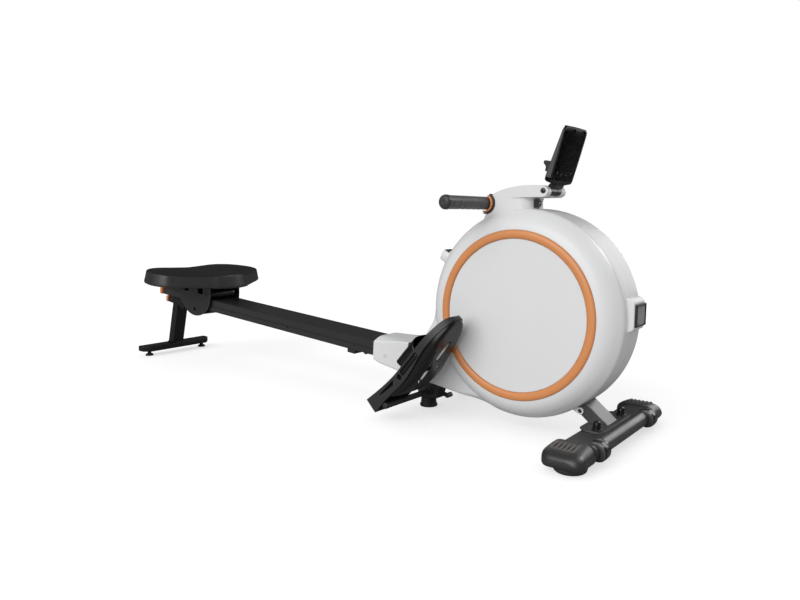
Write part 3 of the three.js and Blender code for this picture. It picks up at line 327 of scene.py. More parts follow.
def arc(centre, radius, start, end, steps):
    # Points round a centre, in degrees.
    angles = [math.radians(start + (end - start) * k / steps) for k in range(steps + 1)]
    return [(centre[0] + radius * math.cos(a), centre[1] + radius * math.sin(a)) for a in angles]


def curved(points, steps=4, closed=True):
    # A smooth curve through the points.
    count = len(points)
    line = []
    last = count if closed else count - 1
    for i in range(last):
        p = [Vector(points[j % count] if closed else points[min(max(j, 0), count - 1)]) for j in range(i - 1, i + 3)]
        for k in range(steps):
            t = k / steps
            line.append(tuple(0.5 * (2 * p[1] + (p[2] - p[0]) * t + (2 * p[0] - 5 * p[1] + 4 * p[2] - p[3]) * t * t
                                     + (3 * p[1] - p[0] - 3 * p[2] + p[3]) * t ** 3)))
    if not closed:
        line.append(tuple(points[-1]))
    return line


# Finishes.
def addNode(tree, kind, inputs, **settings):
    # A shader node; each input is a value, or the output that feeds it.
    node = tree.nodes.new("ShaderNode" + kind)
    for label, value in settings.items():
        setattr(node, label, value)
    feed(tree, node, inputs)
    return node


def feed(tree, node, inputs):
    for label, value in inputs.items():
        if isinstance(value, bpy.types.NodeSocket):
            tree.links.new(value, node.inputs[label])
        else:
            node.inputs[label].default_value = value


def nodeGroup(name, numbers, outputs):
    # A group with a place and some numbers as its inputs.
    group = bpy.data.node_groups.new(name, "ShaderNodeTree")
    group.interface.new_socket(name="Place", in_out="INPUT", socket_type="NodeSocketVector")
    for label, value in numbers.items():
        socket = group.interface.new_socket(name=label, in_out="INPUT", socket_type="NodeSocketFloat")
        socket.default_value = value
    for label in outputs:
        group.interface.new_socket(name=label, in_out="OUTPUT", socket_type="NodeSocketFloat")
    return group, group.nodes.new("NodeGroupInput").outputs, group.nodes.new("NodeGroupOutput")


def grainGroup():
    # Fine moulded or sprayed grain: a height, and slow patches that shift colour and gloss.
    group, given, end = nodeGroup("surfaceGrain", {"Grain Scale": 900.0, "Patch Scale": 9.0, "Roundness": 0.5},
                                  ["Height", "Patches"])
    fine = addNode(group, "TexNoise", {"Detail": 2.0, "Vector": given["Place"], "Scale": given["Grain Scale"]})
    cells = addNode(group, "TexVoronoi", {"Vector": given["Place"], "Scale": given["Grain Scale"]},
                    feature="SMOOTH_F1")
    mix = addNode(group, "Mix", {"Factor": given["Roundness"], "A": fine.outputs["Fac"],
                                 "B": cells.outputs["Distance"]})
    slow = addNode(group, "TexNoise", {"Detail": 3.0, "Roughness": 0.6, "Vector": given["Place"],
                                       "Scale": given["Patch Scale"]})
    feed(group, end, {"Height": mix.outputs["Result"], "Patches": slow.outputs["Fac"]})
    return group


def weaveGroup():
    # Crossed yarns.
    group, given, end = nodeGroup("yarnWeave", {"Yarns": 900.0}, ["Height"])
    across, down = (addNode(group, "TexWave", {"Vector": given["Place"], "Scale": given["Yarns"]}, wave_type="BANDS",
                            bands_direction=direction) for direction in ("X", "Y"))
    top = addNode(group, "Math", {0: across.outputs["Fac"], 1: down.outputs["Fac"]}, operation="MAXIMUM")
    feed(group, end, {"Height": top.outputs["Value"]})
    return group


surfaceGrain = grainGroup()
yarnWeave = weaveGroup()


def finish(name, colour, rough, metal=0.0, grain=900, roundness=0.0, bump=0.15, depth=0.05, patch=9, shift=0.05,
           roughShift=0.06, stretch=(1, 1, 1), sheen=0.0, specular=0.5):
    # A finish with grain, and slow patches in colour and gloss. depth is the grain's height in millimetres.
    material = bpy.data.materials.new(name)
    material.use_nodes = True
    tree = material.node_tree
    where = addNode(tree, "TexCoord", {})
    spread = addNode(tree, "Mapping", {"Scale": stretch, "Vector": where.outputs["Object"]})
    texture = addNode(tree, "Group", {}, node_tree=surfaceGrain)
    feed(tree, texture, {"Grain Scale": grain, "Patch Scale": patch, "Roundness": roundness,
                         "Place": spread.outputs["Vector"]})
    raised = addNode(tree, "Bump", {"Strength": bump, "Distance": depth * mm, "Height": texture.outputs["Height"]})
    tint = addNode(tree, "Mix", {}, data_type="RGBA")
    feed(tree, tint, {"A": (*[c * (1 - shift) for c in colour], 1), "B": (*[min(c * (1 + shift), 1) for c in colour],
                                                                          1), "Factor": texture.outputs["Patches"]})
    gloss = addNode(tree, "MapRange", {"From Min": 0.3, "From Max": 0.7, "To Min": max(rough - roughShift, 0.02),
                                       "To Max": min(rough + roughShift, 1), "Value": texture.outputs["Patches"]})
    feed(tree, tree.nodes["Principled BSDF"], {
        "Metallic": metal, "Sheen Weight": sheen, "Specular IOR Level": specular, "Normal": raised.outputs["Normal"],
        "Base Color": tint.outputs["Result"], "Roughness": gloss.outputs["Result"]})
    return material


whiteShell = finish("whiteShell", (0.66, 0.662, 0.668), 0.36, grain=420, bump=0.08, depth=0.04, patch=5, shift=0.015,
                    roughShift=0.03)
capWhite = finish("capWhite", (0.56, 0.56, 0.565), 0.42, grain=500, bump=0.12, depth=0.04, patch=12, shift=0.02)
orangeTrim = finish("orangeTrim", (0.61, 0.235, 0.078), 0.4, grain=600, bump=0.10, depth=0.03, patch=14, shift=0.04)
blackMould = finish("blackMould", (0.013, 0.013, 0.0135), 0.4, grain=1300, roundness=0.4, bump=0.35, depth=0.06,
                    patch=16, shift=0.2, roughShift=0.05)
pedalMould = finish("pedalMould", (0.024, 0.024, 0.0245), 0.44, grain=1300, roundness=0.4, bump=0.30, patch=16,
                    shift=0.15, roughShift=0.05)
netGrey = finish("netGrey", (0.42, 0.42, 0.425), 0.42, depth=0.03, patch=25, shift=0.08)
standCoat = finish("standCoat", (0.0075, 0.0075, 0.0078), 0.36, grain=650, roundness=0.3, bump=0.22, patch=8,
                   shift=0.15, roughShift=0.05, specular=0.35)
satinBlack = finish("satinBlack", (0.004, 0.004, 0.0041), 0.36, grain=700, bump=0.10, depth=0.03, patch=12, shift=0.2,
                    roughShift=0.05, specular=0.08)
hingeGloss = finish("hingeGloss", (0.006, 0.006, 0.0062), 0.26, grain=700, bump=0.08, depth=0.03, patch=12, shift=0.2,
                    specular=0.35)
greyMould = finish("greyMould", (0.055, 0.055, 0.057), 0.46, grain=1300, roundness=0.4, bump=0.35, depth=0.06,
                   patch=14, shift=0.12)
padGrey = finish("padGrey", (0.105, 0.097, 0.09), 0.62, grain=1500, roundness=0.6, bump=0.5, depth=0.08, patch=18,
                 shift=0.15)
powderCoat = finish("powderCoat", (0.02, 0.02, 0.0205), 0.38, grain=650, roundness=0.3, bump=0.22, patch=8,
                    shift=0.12, roughShift=0.05, specular=0.6)
railCoat = finish("railCoat", (0.02, 0.02, 0.0205), 0.36, grain=800, bump=0.16, depth=0.03, patch=7, shift=0.10,
                  roughShift=0.05, stretch=(0.08, 1, 1), specular=0.7)
plainSteel = finish("plainSteel", (0.55, 0.56, 0.57), 0.28, metal=1.0, bump=0.12, depth=0.02, patch=20, shift=0.06,
                    stretch=(1, 0.05, 1))
darkSteel = finish("darkSteel", (0.06, 0.06, 0.062), 0.3, metal=0.8, bump=0.10, depth=0.02, patch=20, shift=0.15)
castIron = finish("castIron", (0.2, 0.2, 0.205), 0.5, metal=0.9, grain=500, roundness=0.3, bump=0.4, depth=0.1,
                  patch=12, shift=0.2)
mattRubber = finish("mattRubber", (0.014, 0.014, 0.014), 0.62, grain=1500, roundness=0.2, bump=0.3, patch=15,
                    shift=0.2)
glossyRubber = finish("glossyRubber", (0.01, 0.01, 0.0105), 0.2, bump=0.08, depth=0.03, patch=12, shift=0.2)
hullBlack = finish("hullBlack", (0.008, 0.0075, 0.007), 0.27, grain=800, bump=0.10, depth=0.03, shift=0.25,
                   specular=0.35)
legCoat = finish("legCoat", (0.046, 0.046, 0.047), 0.34, grain=650, roundness=0.3, bump=0.16, depth=0.04, shift=0.1,
                 roughShift=0.05, specular=0.7)
beamGloss = finish("beamGloss", (0.02, 0.02, 0.02), 0.38, grain=700, roundness=0.2, bump=0.08, depth=0.02, shift=0.15,
                   roughShift=0.05, specular=1.0)
capGloss = finish("capGloss", (0.018, 0.018, 0.0175), 0.42, roundness=0.3, bump=0.07, depth=0.04, patch=11,
                  shift=0.15, specular=0.85)
strapRubber = finish("strapRubber", (0.006, 0.006, 0.0062), 0.24, grain=1200, roundness=0.2, bump=0.22, depth=0.04,
                     patch=15, shift=0.2)
gripFoam = finish("gripFoam", (0.03, 0.0305, 0.032), 0.46, grain=1700, roundness=0.8, bump=0.55, depth=0.12, patch=20,
                  shift=0.12, sheen=0.15)
seatVinyl = finish("seatVinyl", (0.022, 0.022, 0.024), 0.44, grain=520, roundness=0.75, bump=0.28, depth=0.12,
                   patch=10, shift=0.12, roughShift=0.05)
# the seat's vinyl made darker and rougher; the darkening is painted shade for the seat's upward faces
seatShadedTop = finish("seatShadedTop", (0.012, 0.012, 0.013), 0.55, grain=520, roundness=0.75, bump=0.30, depth=0.14, patch=10,
                 shift=0.12, roughShift=0.05)


def webbingFinish():
    material = finish("nylonWebbing", (0.02, 0.02, 0.021), 0.75, sheen=0.2)
    tree = material.node_tree
    where = next(n for n in tree.nodes if n.type == "TEX_COORD")
    raised = next(n for n in tree.nodes if n.type == "BUMP")
    weave = addNode(tree, "Group", {}, node_tree=yarnWeave)
    feed(tree, weave, {"Yarns": 900.0, "Place": where.outputs["Object"]})
    feed(tree, raised, {"Strength": 0.6, "Distance": 0.2 * mm, "Height": weave.outputs["Height"]})
    return material


nylonWebbing = webbingFinish()
print("finishes made")


# Drum housing: two shells that meet on the middle plane.
shell = {
    "radius": 257, "height": 297, "wall": 3.0, "seam": 0.35,
    "ringIn": 186, "ringOut": 207, "columns": 150, "faceEnd": 245.2,
    "tailSide": 66, "tailEdge": 8, "mouthEdge": 2.0, "beltBlend": 24, "tailStart": 180.0, "tailEnd": 254.2,
}
openings = {
    "pin": (-340, 0, 180), "pinHole": 10.3, "lip": ((-350, -329.7), (-70, 70), (180, 200)), "leg": (29.6, 16.5),
}
# the tail's outline from where it leaves the drum, round its open rear end, back to the drum's underside
tailTop = [(-257, 297), (-257.6, 288), (-259, 276), (-262, 258), (-267, 244), (-275, 228), (-286, 213), (-297, 203.5),
           (-309, 196.5), (-322, 192), (-338.9, 189.5)]
tailBack = [(-338.9, 189.5), (-346.3, 95.9)]
tailUnder = [(-346.3, 95.9), (-215, 77.9), (-160, 70.2), (-128, 65.2), (-104, 61.2), (-86, 56.8), (-70, 50.6)]


def spaced(line, count, ends=True):
    # Points at even steps along a broken line.
    lengths = [0]
    for a, b in zip(line, line[1:]):
        lengths.append(lengths[-1] + (Vector(b) - Vector(a)).length)
    points = []
    for k in range(count + 1 if ends else count):
        want = lengths[-1] * k / count
        i = max(j for j in range(len(line) - 1) if lengths[j] <= want + 1e-9)
        t = (want - lengths[i]) / (lengths[i + 1] - lengths[i])
        points.append(tuple(Vector(line[i]).lerp(Vector(line[i + 1]), min(t, 1))))
    return points


def shellColumns():
    # For each column: a direction on the drum, the outline point, its inward normal, and its edge radius.
    startAngle, endAngle = shell["tailStart"], shell["tailEnd"]
    tail = spaced(tailTop, 34, ends=False) + spaced(tailBack, 14, ends=False) + spaced(tailUnder, 52)
    back = range(34, 49)
    columns = []
    count = shell["columns"]
    sweep = 360 - (endAngle - startAngle)
    for k in range(1, count):
        angle = math.radians(endAngle + sweep * k / count)
        way = Vector((math.cos(angle), math.sin(angle)))
        columns.append((way, Vector((0, shell["height"])) + way * shell["radius"], -way, shell["tailEdge"], False))
    for i, point in enumerate(tail):
        share = i / (len(tail) - 1)
        angle = math.radians(startAngle + (endAngle - startAngle) * share)
        way = Vector((math.cos(angle), math.sin(angle)))
        before, after = Vector(tail[max(i - 1, 0)]), Vector(tail[min(i + 1, len(tail) - 1)])
        along = (after - before).normalized()
        inward = Vector((-along.y, along.x))
        edge = shell["mouthEdge"] if i in back else shell["tailEdge"]
        columns.append((way, Vector(point), inward, edge, i in back))
    return columns


def makeShell(name):
    centre = Vector((0, shell["height"]))
    radius = shell["radius"]
    side = shell["tailSide"]
    columns = shellColumns()
    inner, outer = shell["ringIn"], shell["ringOut"]
    face = [(0.0, 89.0), (60, 89.0), (120, 89.0), (170, 89.0), (inner - 1.2, 89.0), (inner - 0.6, 88.6),
            (inner - 0.4, 87.2), (outer + 0.2, 87.2), (outer + 0.4, 88.5), (outer + 1.2, 88.9)]
    shoulder = [(212, 88.4), (217, 87.3), (222.5, 85.3), (228, 82.4), (233, 78.8), (238, 74.5), (242, 70.4)]
    lower = [(245.2, 66.0), (247.4, 63.2), (249.6, 60.2), (251.8, 57.0), (253.6, 54.3), (255.2, 51.4), (256.4, 48.4),
             (257, 44.5), (257, 22), (257, shell["seam"])]
    rows = []
    for r, y in face + shoulder:
        rows.append([(way.x * r, -y, centre.y + way.y * r) for way, *_ in columns])
    for k, (r, y) in enumerate(lower):
        row = []
        for way, rim, inward, edge, back in columns:
            bulge = rim - (centre + way * radius)
            reach = k / (len(lower) - 3) if k < len(lower) - 3 else 1
            bulged = centre + way * r + bulge * reach
            away = (rim - centre).length - radius
            soft = min(max(away / shell["beltBlend"], 0), 1)
            soft = soft * soft * (3 - 2 * soft)
            if k <= 3:
                spot = (centre + way * shell["faceEnd"]).lerp(rim + inward * edge, k / 3)
                depth = side
            elif k <= 6:
                turn = math.radians(30 * (k - 3))
                spot = rim + inward * edge * (1 - math.sin(turn))
                depth = side - edge * (1 - math.cos(turn))
            else:
                spot, depth = rim, y
            mixed = bulged.lerp(spot, soft)
            row.append((mixed.x, -(y + (depth - y) * soft), mixed.y))
        rows.append(row)
    piece = skin(name, rows, capped=False)

    def atBack(polygon):
        # the tail's rear end is open
        spots = [piece.data.vertices[i].co / mm for i in polygon.vertices]
        (topX, topZ), (lowX, lowZ) = tailBack
        lean = (topX - lowX) / (topZ - lowZ)
        onEnd = all(abs((p.x - topX) + (topZ - p.z) * lean) < 0.4 for p in spots)
        return onEnd and all(p.y > -shell["tailSide"] + 0.5 for p in spots)

    selectFaces(piece, atBack)
    bpy.ops.mesh.delete(type="FACE")
    bpy.ops.mesh.select_mode(type="VERT")
    faceOutwards()
    return changed(piece, "SOLIDIFY", thickness=shell["wall"] * mm, offset=-1)


def cutShell(piece):
    # Openings for the lock pin, the sleeve's lip and the leg.
    cutRod(piece, openings["pinHole"], -70, 70, at=openings["pin"], steps=40)
    cutBlock(piece, *openings["lip"])
    u, v = openings["leg"]
    leg = prism("cutter", [(-u, -v, 3), (u, -v, 3), (u, v, 3), (-u, v, 3)], "X", -120, 20)
    place(leg, legInDrum)
    combine(piece, leg)
    return piece


rightShell = makeShell("housingRight")
leftShell = copied(rightShell, "housingLeft", acrossMiddle)
for shellPiece, nodeName in ((rightShell, "housing_right"), (leftShell, "housing_left")):
    cutShell(shellPiece)
    put(smooth(shellPiece, 28), drumFrame, "body", "white_plastic", whiteShell, nodeName)

trimRing = {"inner": 186.3, "outer": 206.7, "base": 87.4, "crown": 94.0, "steps": 160}


def makeTrimRing(name):
    inner, outer, base = trimRing["inner"], trimRing["outer"], trimRing["base"]
    middle, half = (inner + outer) / 2, (outer - inner) / 2
    rise = trimRing["crown"] - base - 0.6
    bead = [(middle + half * math.cos(math.radians(a)), -(base + 0.6 + rise * math.sin(math.radians(a)) ** 0.8))
            for a in range(0, 181, 12)]
    return turned(name, [(outer, -base)] + bead + [(inner, -base)], at=(0, 0, shell["height"]),
                  steps=trimRing["steps"])


rightRing = makeTrimRing("trimRingRight")
leftRing = copied(rightRing, "trimRingLeft", acrossMiddle)
for ringPiece, nodeName in ((rightRing, "trim_ring_right"), (leftRing, "trim_ring_left")):
    put(smooth(ringPiece, 40), drumFrame, "body", "orange_plastic", orangeTrim, nodeName)

# a moulded screw boss under the drum, beside the leg
boss = {"x": 152, "z": 77, "radius": 8.5, "near": 18, "far": 33, "hole": 5.2, "head": 28.6}


def makeScrewBoss(name):
    x, z = boss["x"], boss["z"]
    outline = [(x - 26, z + 7), (x - 14, z - 2)] + arc((x, z), boss["radius"], -125, 100, 18) + [(x - 14, z + 12)]
    piece = prism(name, outline, "Y", -boss["far"], -boss["near"], soft=0.8)
    cutRod(piece, boss["hole"], -40, -29, at=(x, 0, z))
    return smooth(piece, 40)


putPair(makeScrewBoss("screwBossRight"), drumFrame, "body", "white_plastic", whiteShell)
for sign, side in sides:
    head = screw("bossScrew" + side, (boss["x"], sign * boss["head"], boss["z"]), (0, sign, 0), 4.6, 2.4)
    put(head, drumFrame, "body", "steel", darkSteel)
print("drum made")


# Neck on top of the drum.
neck = {
    "half": 49.5, "fork": 28, "edge": 3, "screwAt": (50, 595), "screwHole": 7.2, "screwHead": 48.4, "armsFrom": 580.4,
    "cradleHole": 26.6,
}
neckOutline = [(-112, 528), (-103, 548, 8), (-94, 574, 8), (-88.5, 589.5, 6), (-72, 597.2, 12), (-50, 603.4, 14),
               (-25, 607.8, 14), (2, 609.6, 12), (28, 609.2, 8), (47, 608.4, 6), (57, 605, 5), (62.6, 597.6, 5),
               (62.4, 588.8, 5), (56.6, 582.0, 5), (46, 579.8, 4), (29, 579.2, 3), (23.2, 575, 4), (21.4, 566, 5),
               (24, 538)]
neckPlan = [(-66, 51), (-46, 49.8), (-25, 48.2), (-9, 45.6), (5, 38), (12.6, 28), (15.6, 17), (16, 9)]
# the pull handle: its middle, grip and hub, used here and where it is made
handle = {
    "x": -106, "z": 568, "inner": 31, "end": 233.5, "radius": 16.1, "hub": 18.6, "tube": 11, "seamAt": 193,
    "seamLean": 9,
}


def makeNeck():
    piece = prism("neckShroud", neckOutline, "Y", -neck["half"], neck["half"])
    soften(piece, neck["edge"], 4, 30)
    cutPrism(piece, [(25, 566), (90, 566), (90, 640), (25, 640)], "Y", -neck["fork"], neck["fork"])
    x, z = neck["screwAt"]
    for sign, _ in sides:
        # the body narrows forwards below the arms
        plan = [(u, sign * v) for u, v in curved(neckPlan, 4, closed=False)]
        plan += [(70, sign * 9), (70, sign * 70), (-64, sign * 70)]
        cutPrism(piece, plan, "Z", 500, neck["armsFrom"])
        low, high = sorted((sign * (neck["half"] - 3), sign * (neck["half"] + 10)))
        cutRod(piece, neck["screwHole"], low, high, at=(x, 0, z))
    cutRod(piece, neck["cradleHole"], -60, 60, at=(handle["x"], 0, handle["z"]), steps=72)
    cutBlock(piece, (-95, -60), (-14, 14), (562, 574))
    return melted(piece, 1.15, 7)


put(makeNeck(), drumFrame, "body", "white_plastic", whiteShell, "neck_shroud")
for sign, side in sides:
    head = screw("forkScrew" + side, (neck["screwAt"][0], sign * neck["screwHead"], neck["screwAt"][1]), (0, sign, 0),
                 5.6, 2.2, 2.8)
    put(head, drumFrame, "body", "steel", darkSteel)

# a short dark barrel stands in the neck's front, just over the drum
lowPivot = {"x": 17.2, "z": 566.4, "radius": 10.4, "from": -25, "to": -8}
r, low, high = (lowPivot[k] for k in ("radius", "from", "to"))
pivotBarrel = turned("pivotBarrel", [(0, low), (r - 1, low), (r, low + 1), (r, high - 5), (r - 0.5, high - 4.5),
                                     (r - 0.5, high - 3.5), (r, high - 3), (r, high - 1), (r - 1, high), (0, high)],
                     at=(lowPivot["x"], 0, lowPivot["z"]))
put(smooth(pivotBarrel, 40), drumFrame, "body", "steel", darkSteel)


# The handle's cradle.
cradle = {"half": 53, "from": -99, "to": 62}


def cradleBand(name, inner, outer, half, soft):
    centre = (handle["x"], handle["z"])
    outline = (arc(centre, outer, cradle["from"], cradle["to"], 36)
               + arc(centre, inner, cradle["to"], cradle["from"], 36))
    piece = prism(name, outline, "Y", -half, half, soft=soft, steps=2)
    cutBlock(piece, (-95, -60), (-14, 14), (563, 573))  # the strap's way out
    return smooth(piece, 35)


put(cradleBand("cradleEdge", 23.3, 26.5, cradle["half"], 0.8), drumFrame, "body", "black_plastic", blackMould,
    "cradle_edge")
put(cradleBand("cradleLiner", 18.6, 23.0, cradle["half"] + 5, 0.9), drumFrame, "body", "orange_plastic", orangeTrim,
    "cradle_liner")
print("neck and cradle made")


# Vent on the drum's front.
vent = {
    "base": 246, "front": 271.5, "bottom": 275.5, "top": 355, "half": 34, "frameHalf": 30, "low": 289, "high": 340,
    "bar": 3.2, "wire": 1.1,
}


def makeVentBox():
    base, front, bottom, top = (vent[k] for k in ("base", "front", "bottom", "top"))
    side = [(base, bottom + 1), (base + 12, bottom, 4), (front, bottom + 7, 6), (front, top - 8, 7),
            (base + 12, top, 5), (base, top - 1)]
    piece = prism("ventBox", side, "Y", -vent["half"], vent["half"], arcs=6)
    soften(piece, 3.6, 4, 30)
    half, room = vent["frameHalf"], 0.3
    cutBlock(piece, (262.5, 290), (-half - room, half + room), (vent["low"] - room, vent["high"] + room), soft=2)
    return smooth(piece, 40)


put(makeVentBox(), drumFrame, "body", "white_plastic", whiteShell, "vent_box")


def makeVentGrille():
    # A frame round a mesh of diamond cells.
    half, low, high, bar = vent["frameHalf"], vent["low"], vent["high"], vent["bar"]
    rim = block("ventFrame", (262.8, 276.8), (-half, half), (low, high), soft=1.4)
    cutBlock(rim, (266, 290), (bar - half, half - bar), (low + bar, high - bar), soft=0.8)
    bpy.ops.object.select_all(action="DESELECT")
    bpy.ops.mesh.primitive_grid_add(x_subdivisions=20, y_subdivisions=20, size=0.1)
    net = bpy.context.object
    net.name = "ventNet"
    # squeezed squares on their points make tall diamonds
    place(net, Matrix.Diagonal((0.62, 1.0, 1.0, 1.0)) @ Matrix.Rotation(math.radians(45), 4, "Z"))
    place(net, Matrix.Translation((0.2735, 0, 0.3145)) @ Matrix.Rotation(math.radians(90), 4, "Y")
          @ Matrix.Rotation(math.radians(90), 4, "Z"))
    selectOnly(net)
    bpy.ops.object.mode_set(mode="EDIT")
    for spot, way in (((0, half - 3, 0), (0, 1, 0)), ((0, 3 - half, 0), (0, -1, 0)),
                      ((0, 0, high - 3), (0, 0, 1)), ((0, 0, low + 3), (0, 0, -1))):
        bpy.ops.mesh.select_all(action="SELECT")
        bpy.ops.mesh.bisect(plane_co=tuple(Vector(spot) * mm), plane_no=way, clear_outer=True)
    bpy.ops.object.mode_set(mode="OBJECT")
    return rim, changed(net, "WIREFRAME", thickness=vent["wire"] * mm, use_even_offset=False)


ventFrame, ventNet = makeVentGrille()
put(smooth(ventFrame, 40), drumFrame, "body", "black_plastic", blackMould, "vent_grille")
put(ventNet, drumFrame, "body", "grey_plastic", netGrey)
print("vent made")


# Resistance knob.
knob = {"seat": 259.5, "top": 295, "radius": 27.5}


def makeKnob():
    seat, top, radius = knob["seat"], knob["top"], knob["radius"]
    profile = [(0, 240), (7.6, 240), (7.6, seat - 0.4), (radius - 3, seat), (radius - 0.8, seat + 1),
               (radius, seat + 3), (radius - 0.4, seat + 12), (radius - 1.6, top - 7), (radius - 3.2, top - 3),
               (radius - 6.5, top - 0.8), (radius - 10, top), (0, top)]
    piece = turned("resistanceKnob", profile, "Z", steps=96)
    for sign, _ in sides:
        cutPrism(piece, [(sign * 14, -40), (sign * 40, -40), (sign * 40, 40), (sign * 14, 40)], "Z",
                 seat + 14, top + 5)
    soften(piece, 1.2, 3, 40)
    return smooth(piece, 40)


put(makeKnob(), knobFrame, "resistance_knob", "white_plastic", whiteShell, "resistance_knob")


def makeKnobPad(name, sign):
    # A dark ribbed pad on each side of the knob's finger bar.
    parts = [block("pad", (sign * 14.2 - 1.2, sign * 14.2 + 1.2), (-17, 17), (276, 291), soft=0.9)]
    for y in (-12.5, -7.5, -2.5, 2.5, 7.5, 12.5):
        parts.append(block("rib", (sign * 15.2 - 1.1, sign * 15.2 + 1.1), (y - 1, y + 1), (277.5, 289.5), soft=0.7))
    return smooth(joined(name, *parts), 40)


for sign, end in ((-1, "Low"), (1, "High")):
    put(makeKnobPad("knobPad" + end, sign), knobFrame, "resistance_knob", "black_plastic", blackMould)
print("knob made")


# The rail: an upper and a lower channel in one extrusion, square to the rail frame.
railSize = {
    "half": 55.75, "top": -14.5, "split": -38.0, "bottom": -57.5, "front": -16, "rear": -1222, "lowerRear": -1184,
    "groove": 47.2, "grooveDepth": 1.5, "stop": (-241, -210), "notches": (-206, -501, -792),
}


def mirrored(halfLine):
    # A line on the right, followed by its mirror image on the left.
    return [(-u, *rest) for u, *rest in halfLine] + [(u, *rest) for u, *rest in reversed(halfLine)]


def makeRail():
    half, top, split, bottom = (railSize[k] for k in ("half", "top", "split", "bottom"))
    g, d = railSize["groove"], railSize["grooveDepth"]
    line = [(half - 3, bottom), (half - 0.9, bottom + 0.9), (half, bottom + 3), (half, split - 2.2),
            (half - 0.5, split - 1.4), (half - 1.6, split - 0.7), (half - 1.6, split + 0.7),
            (half - 0.5, split + 1.4), (half, split + 2.2), (half, top - 2.6), (half - 0.8, top - 0.8),
            (half - 2.6, top), (g + 1.5, top), (g + 1.0, top - d), (g - 1.0, top - d), (g - 1.5, top)]
    piece = prism("railBeam", mirrored(line), "X", railSize["rear"], railSize["front"])
    cutBlock(piece, (railSize["rear"] - 10, railSize["lowerRear"]), (-80, 80), (bottom - 10, split))
    for x in railSize["notches"]:
        for sign, _ in sides:
            low, high = sorted((sign * (half - 2.6), sign * (half + 2)))
            cutPrism(piece, arc((x, split - 1), 5.2, 180, 360, 10) + [(x + 5.2, split), (x - 5.2, split)],
                     "Y", low, high)
    stop = block("stop", railSize["stop"], (-50, 50), (bottom - 13, bottom + 1), soft=2)
    combine(piece, stop, "UNION")
    stud = turned("stud", [(0, bottom - 6), (4, bottom - 6), (6, bottom - 4.5), (6, bottom + 1), (0, bottom + 1)],
                  "Z", at=(-172, -42, 0), steps=24)
    combine(piece, stud, "UNION")
    return smooth(piece, 30)


put(makeRail(), railFrame, "rail", "rail_metal", railCoat, "rail")

caps = {"thick": 13, "upperHalf": 65, "lowerHalf": 62, "over": 3.5, "under": 5}


def makeCap(name, rear, half, low, high):
    outline = [(-half, low, 6), (half, low, 6), (half, high, 7), (-half, high, 7)]
    piece = prism(name, outline, "X", rear - caps["thick"], rear - 0.3)
    soften(piece, 2.6, 4, 30)
    # a shallow sunk field in the outer face
    field = [(-half + 12, low + 6, 4), (half - 12, low + 6, 4), (half - 12, high - 6, 4), (-half + 12, high - 6, 4)]
    cutPrism(piece, field, "X", rear - caps["thick"] - 3, rear - caps["thick"] + 1.2)
    soften(piece, 0.5, 2, 50)
    return smooth(piece, 40)


split = railSize["split"]
upperCap = makeCap("railEndCap", railSize["rear"], caps["upperHalf"], split + 0.3, railSize["top"] + caps["over"])
lowerCap = makeCap("standCap", railSize["lowerRear"], caps["lowerHalf"], railSize["bottom"] - caps["under"],
                   split - 0.4)
for cap, node in ((upperCap, "rail_end_cap"), (lowerCap, "stand_cap")):
    put(cap, railFrame, "rail", "orange_plastic", orangeTrim, node)


# The white sleeve over the rail's front end.
sleeve = {
    "mouth": -127.6, "long": 126.6, "rise": 8.5, "half": 64, "wall": 3, "creaseLow": -11.5, "creaseSlope": 0.1829,
    "bottomLine": [(-127.6, -65.5), (-122, -68), (-116, -70.2), (-110, -71.8), (-100, -74), (-42, -80), (-1, -84.5)],
}


def along(line, x):
    for (x0, z0), (x1, z1) in zip(line, line[1:]):
        if x <= x1:
            return z0 + (z1 - z0) * max(x - x0, 0) / (x1 - x0)
    return line[-1][1]


def sleeveSection(x, inset):
    forward = x - sleeve["mouth"]
    top = 1 + forward * sleeve["rise"] / sleeve["long"]
    crease = sleeve["creaseLow"] + sleeve["creaseSlope"] * forward
    low = along(sleeve["bottomLine"], x)
    half = sleeve["half"]
    side = min(crease, top - 1.4)
    shoulder = min(crease + 11, top - 0.5)
    line = [(half - inset, low + inset, 8), (half - inset, side - inset * 0.5, 5), (half - 24, shoulder - inset, 9),
            (half - 36, top - inset, 6)]
    return [(x, y, z) for y, z in rounded(mirrored(line), 6)]


def makeSleeve():
    stations = [(-127.6, 3.2), (-127.2, 1.8), (-126.2, 0.8), (-124.8, 0.25), (-123, 0), (-120, 0), (-116, 0),
                (-112, 0), (-108, 0), (-100, 0), (-80, 0), (-60, 0), (-40, 0), (-20, 0), (-6, 0), (-1.8, 0),
                (-1.0, 0.6)]
    piece = skin("railSleeve", [sleeveSection(x, inset) for x, inset in stations])
    inner = [sleeveSection(x, sleeve["wall"]) for x in (-122, -110, -80, -40, -10)]
    inner.append([(6, y, z) for _, y, z in inner[-1]])
    combine(piece, skin("cutter", inner))
    cutBlock(piece, (-140, -110), (-56.4, 56.4), (-58.3, -14.0))
    cutBlock(piece, (-7, 4), (-31, 31), (-4, 8.3))  # room for the frame's lugs when folded
    return smooth(piece, 32)


put(makeSleeve(), railFrame, "rail", "white_plastic", whiteShell, "rail_sleeve")
sleeveCap = [(0, 62), (6, 62), (6, 64.3), (5.4, 64.8), (4.4, 64.9), (4.0, 64.5), (0, 64.5)]
for sign, side in sides:
    disc = turned("sleeveCap" + side, [(r, sign * y) for r, y in sleeveCap], at=(-80.6, 0, -46.4), steps=40)
    put(smooth(disc, 40), railFrame, "rail", "white_plastic", capWhite)
print("rail, caps and sleeve made")


# The rear stand, drawn from under the drum's centre; its saddle is square to the rail.
stand = {
    "foot": -1578, "postX": 18, "postY": 23.5, "barTop": 39, "barBottom": 18, "barHalf": 148, "saddleRear": -1183,
    "saddleLong": 105, "bolts": (-1098, -1160), "feetY": 118,
}


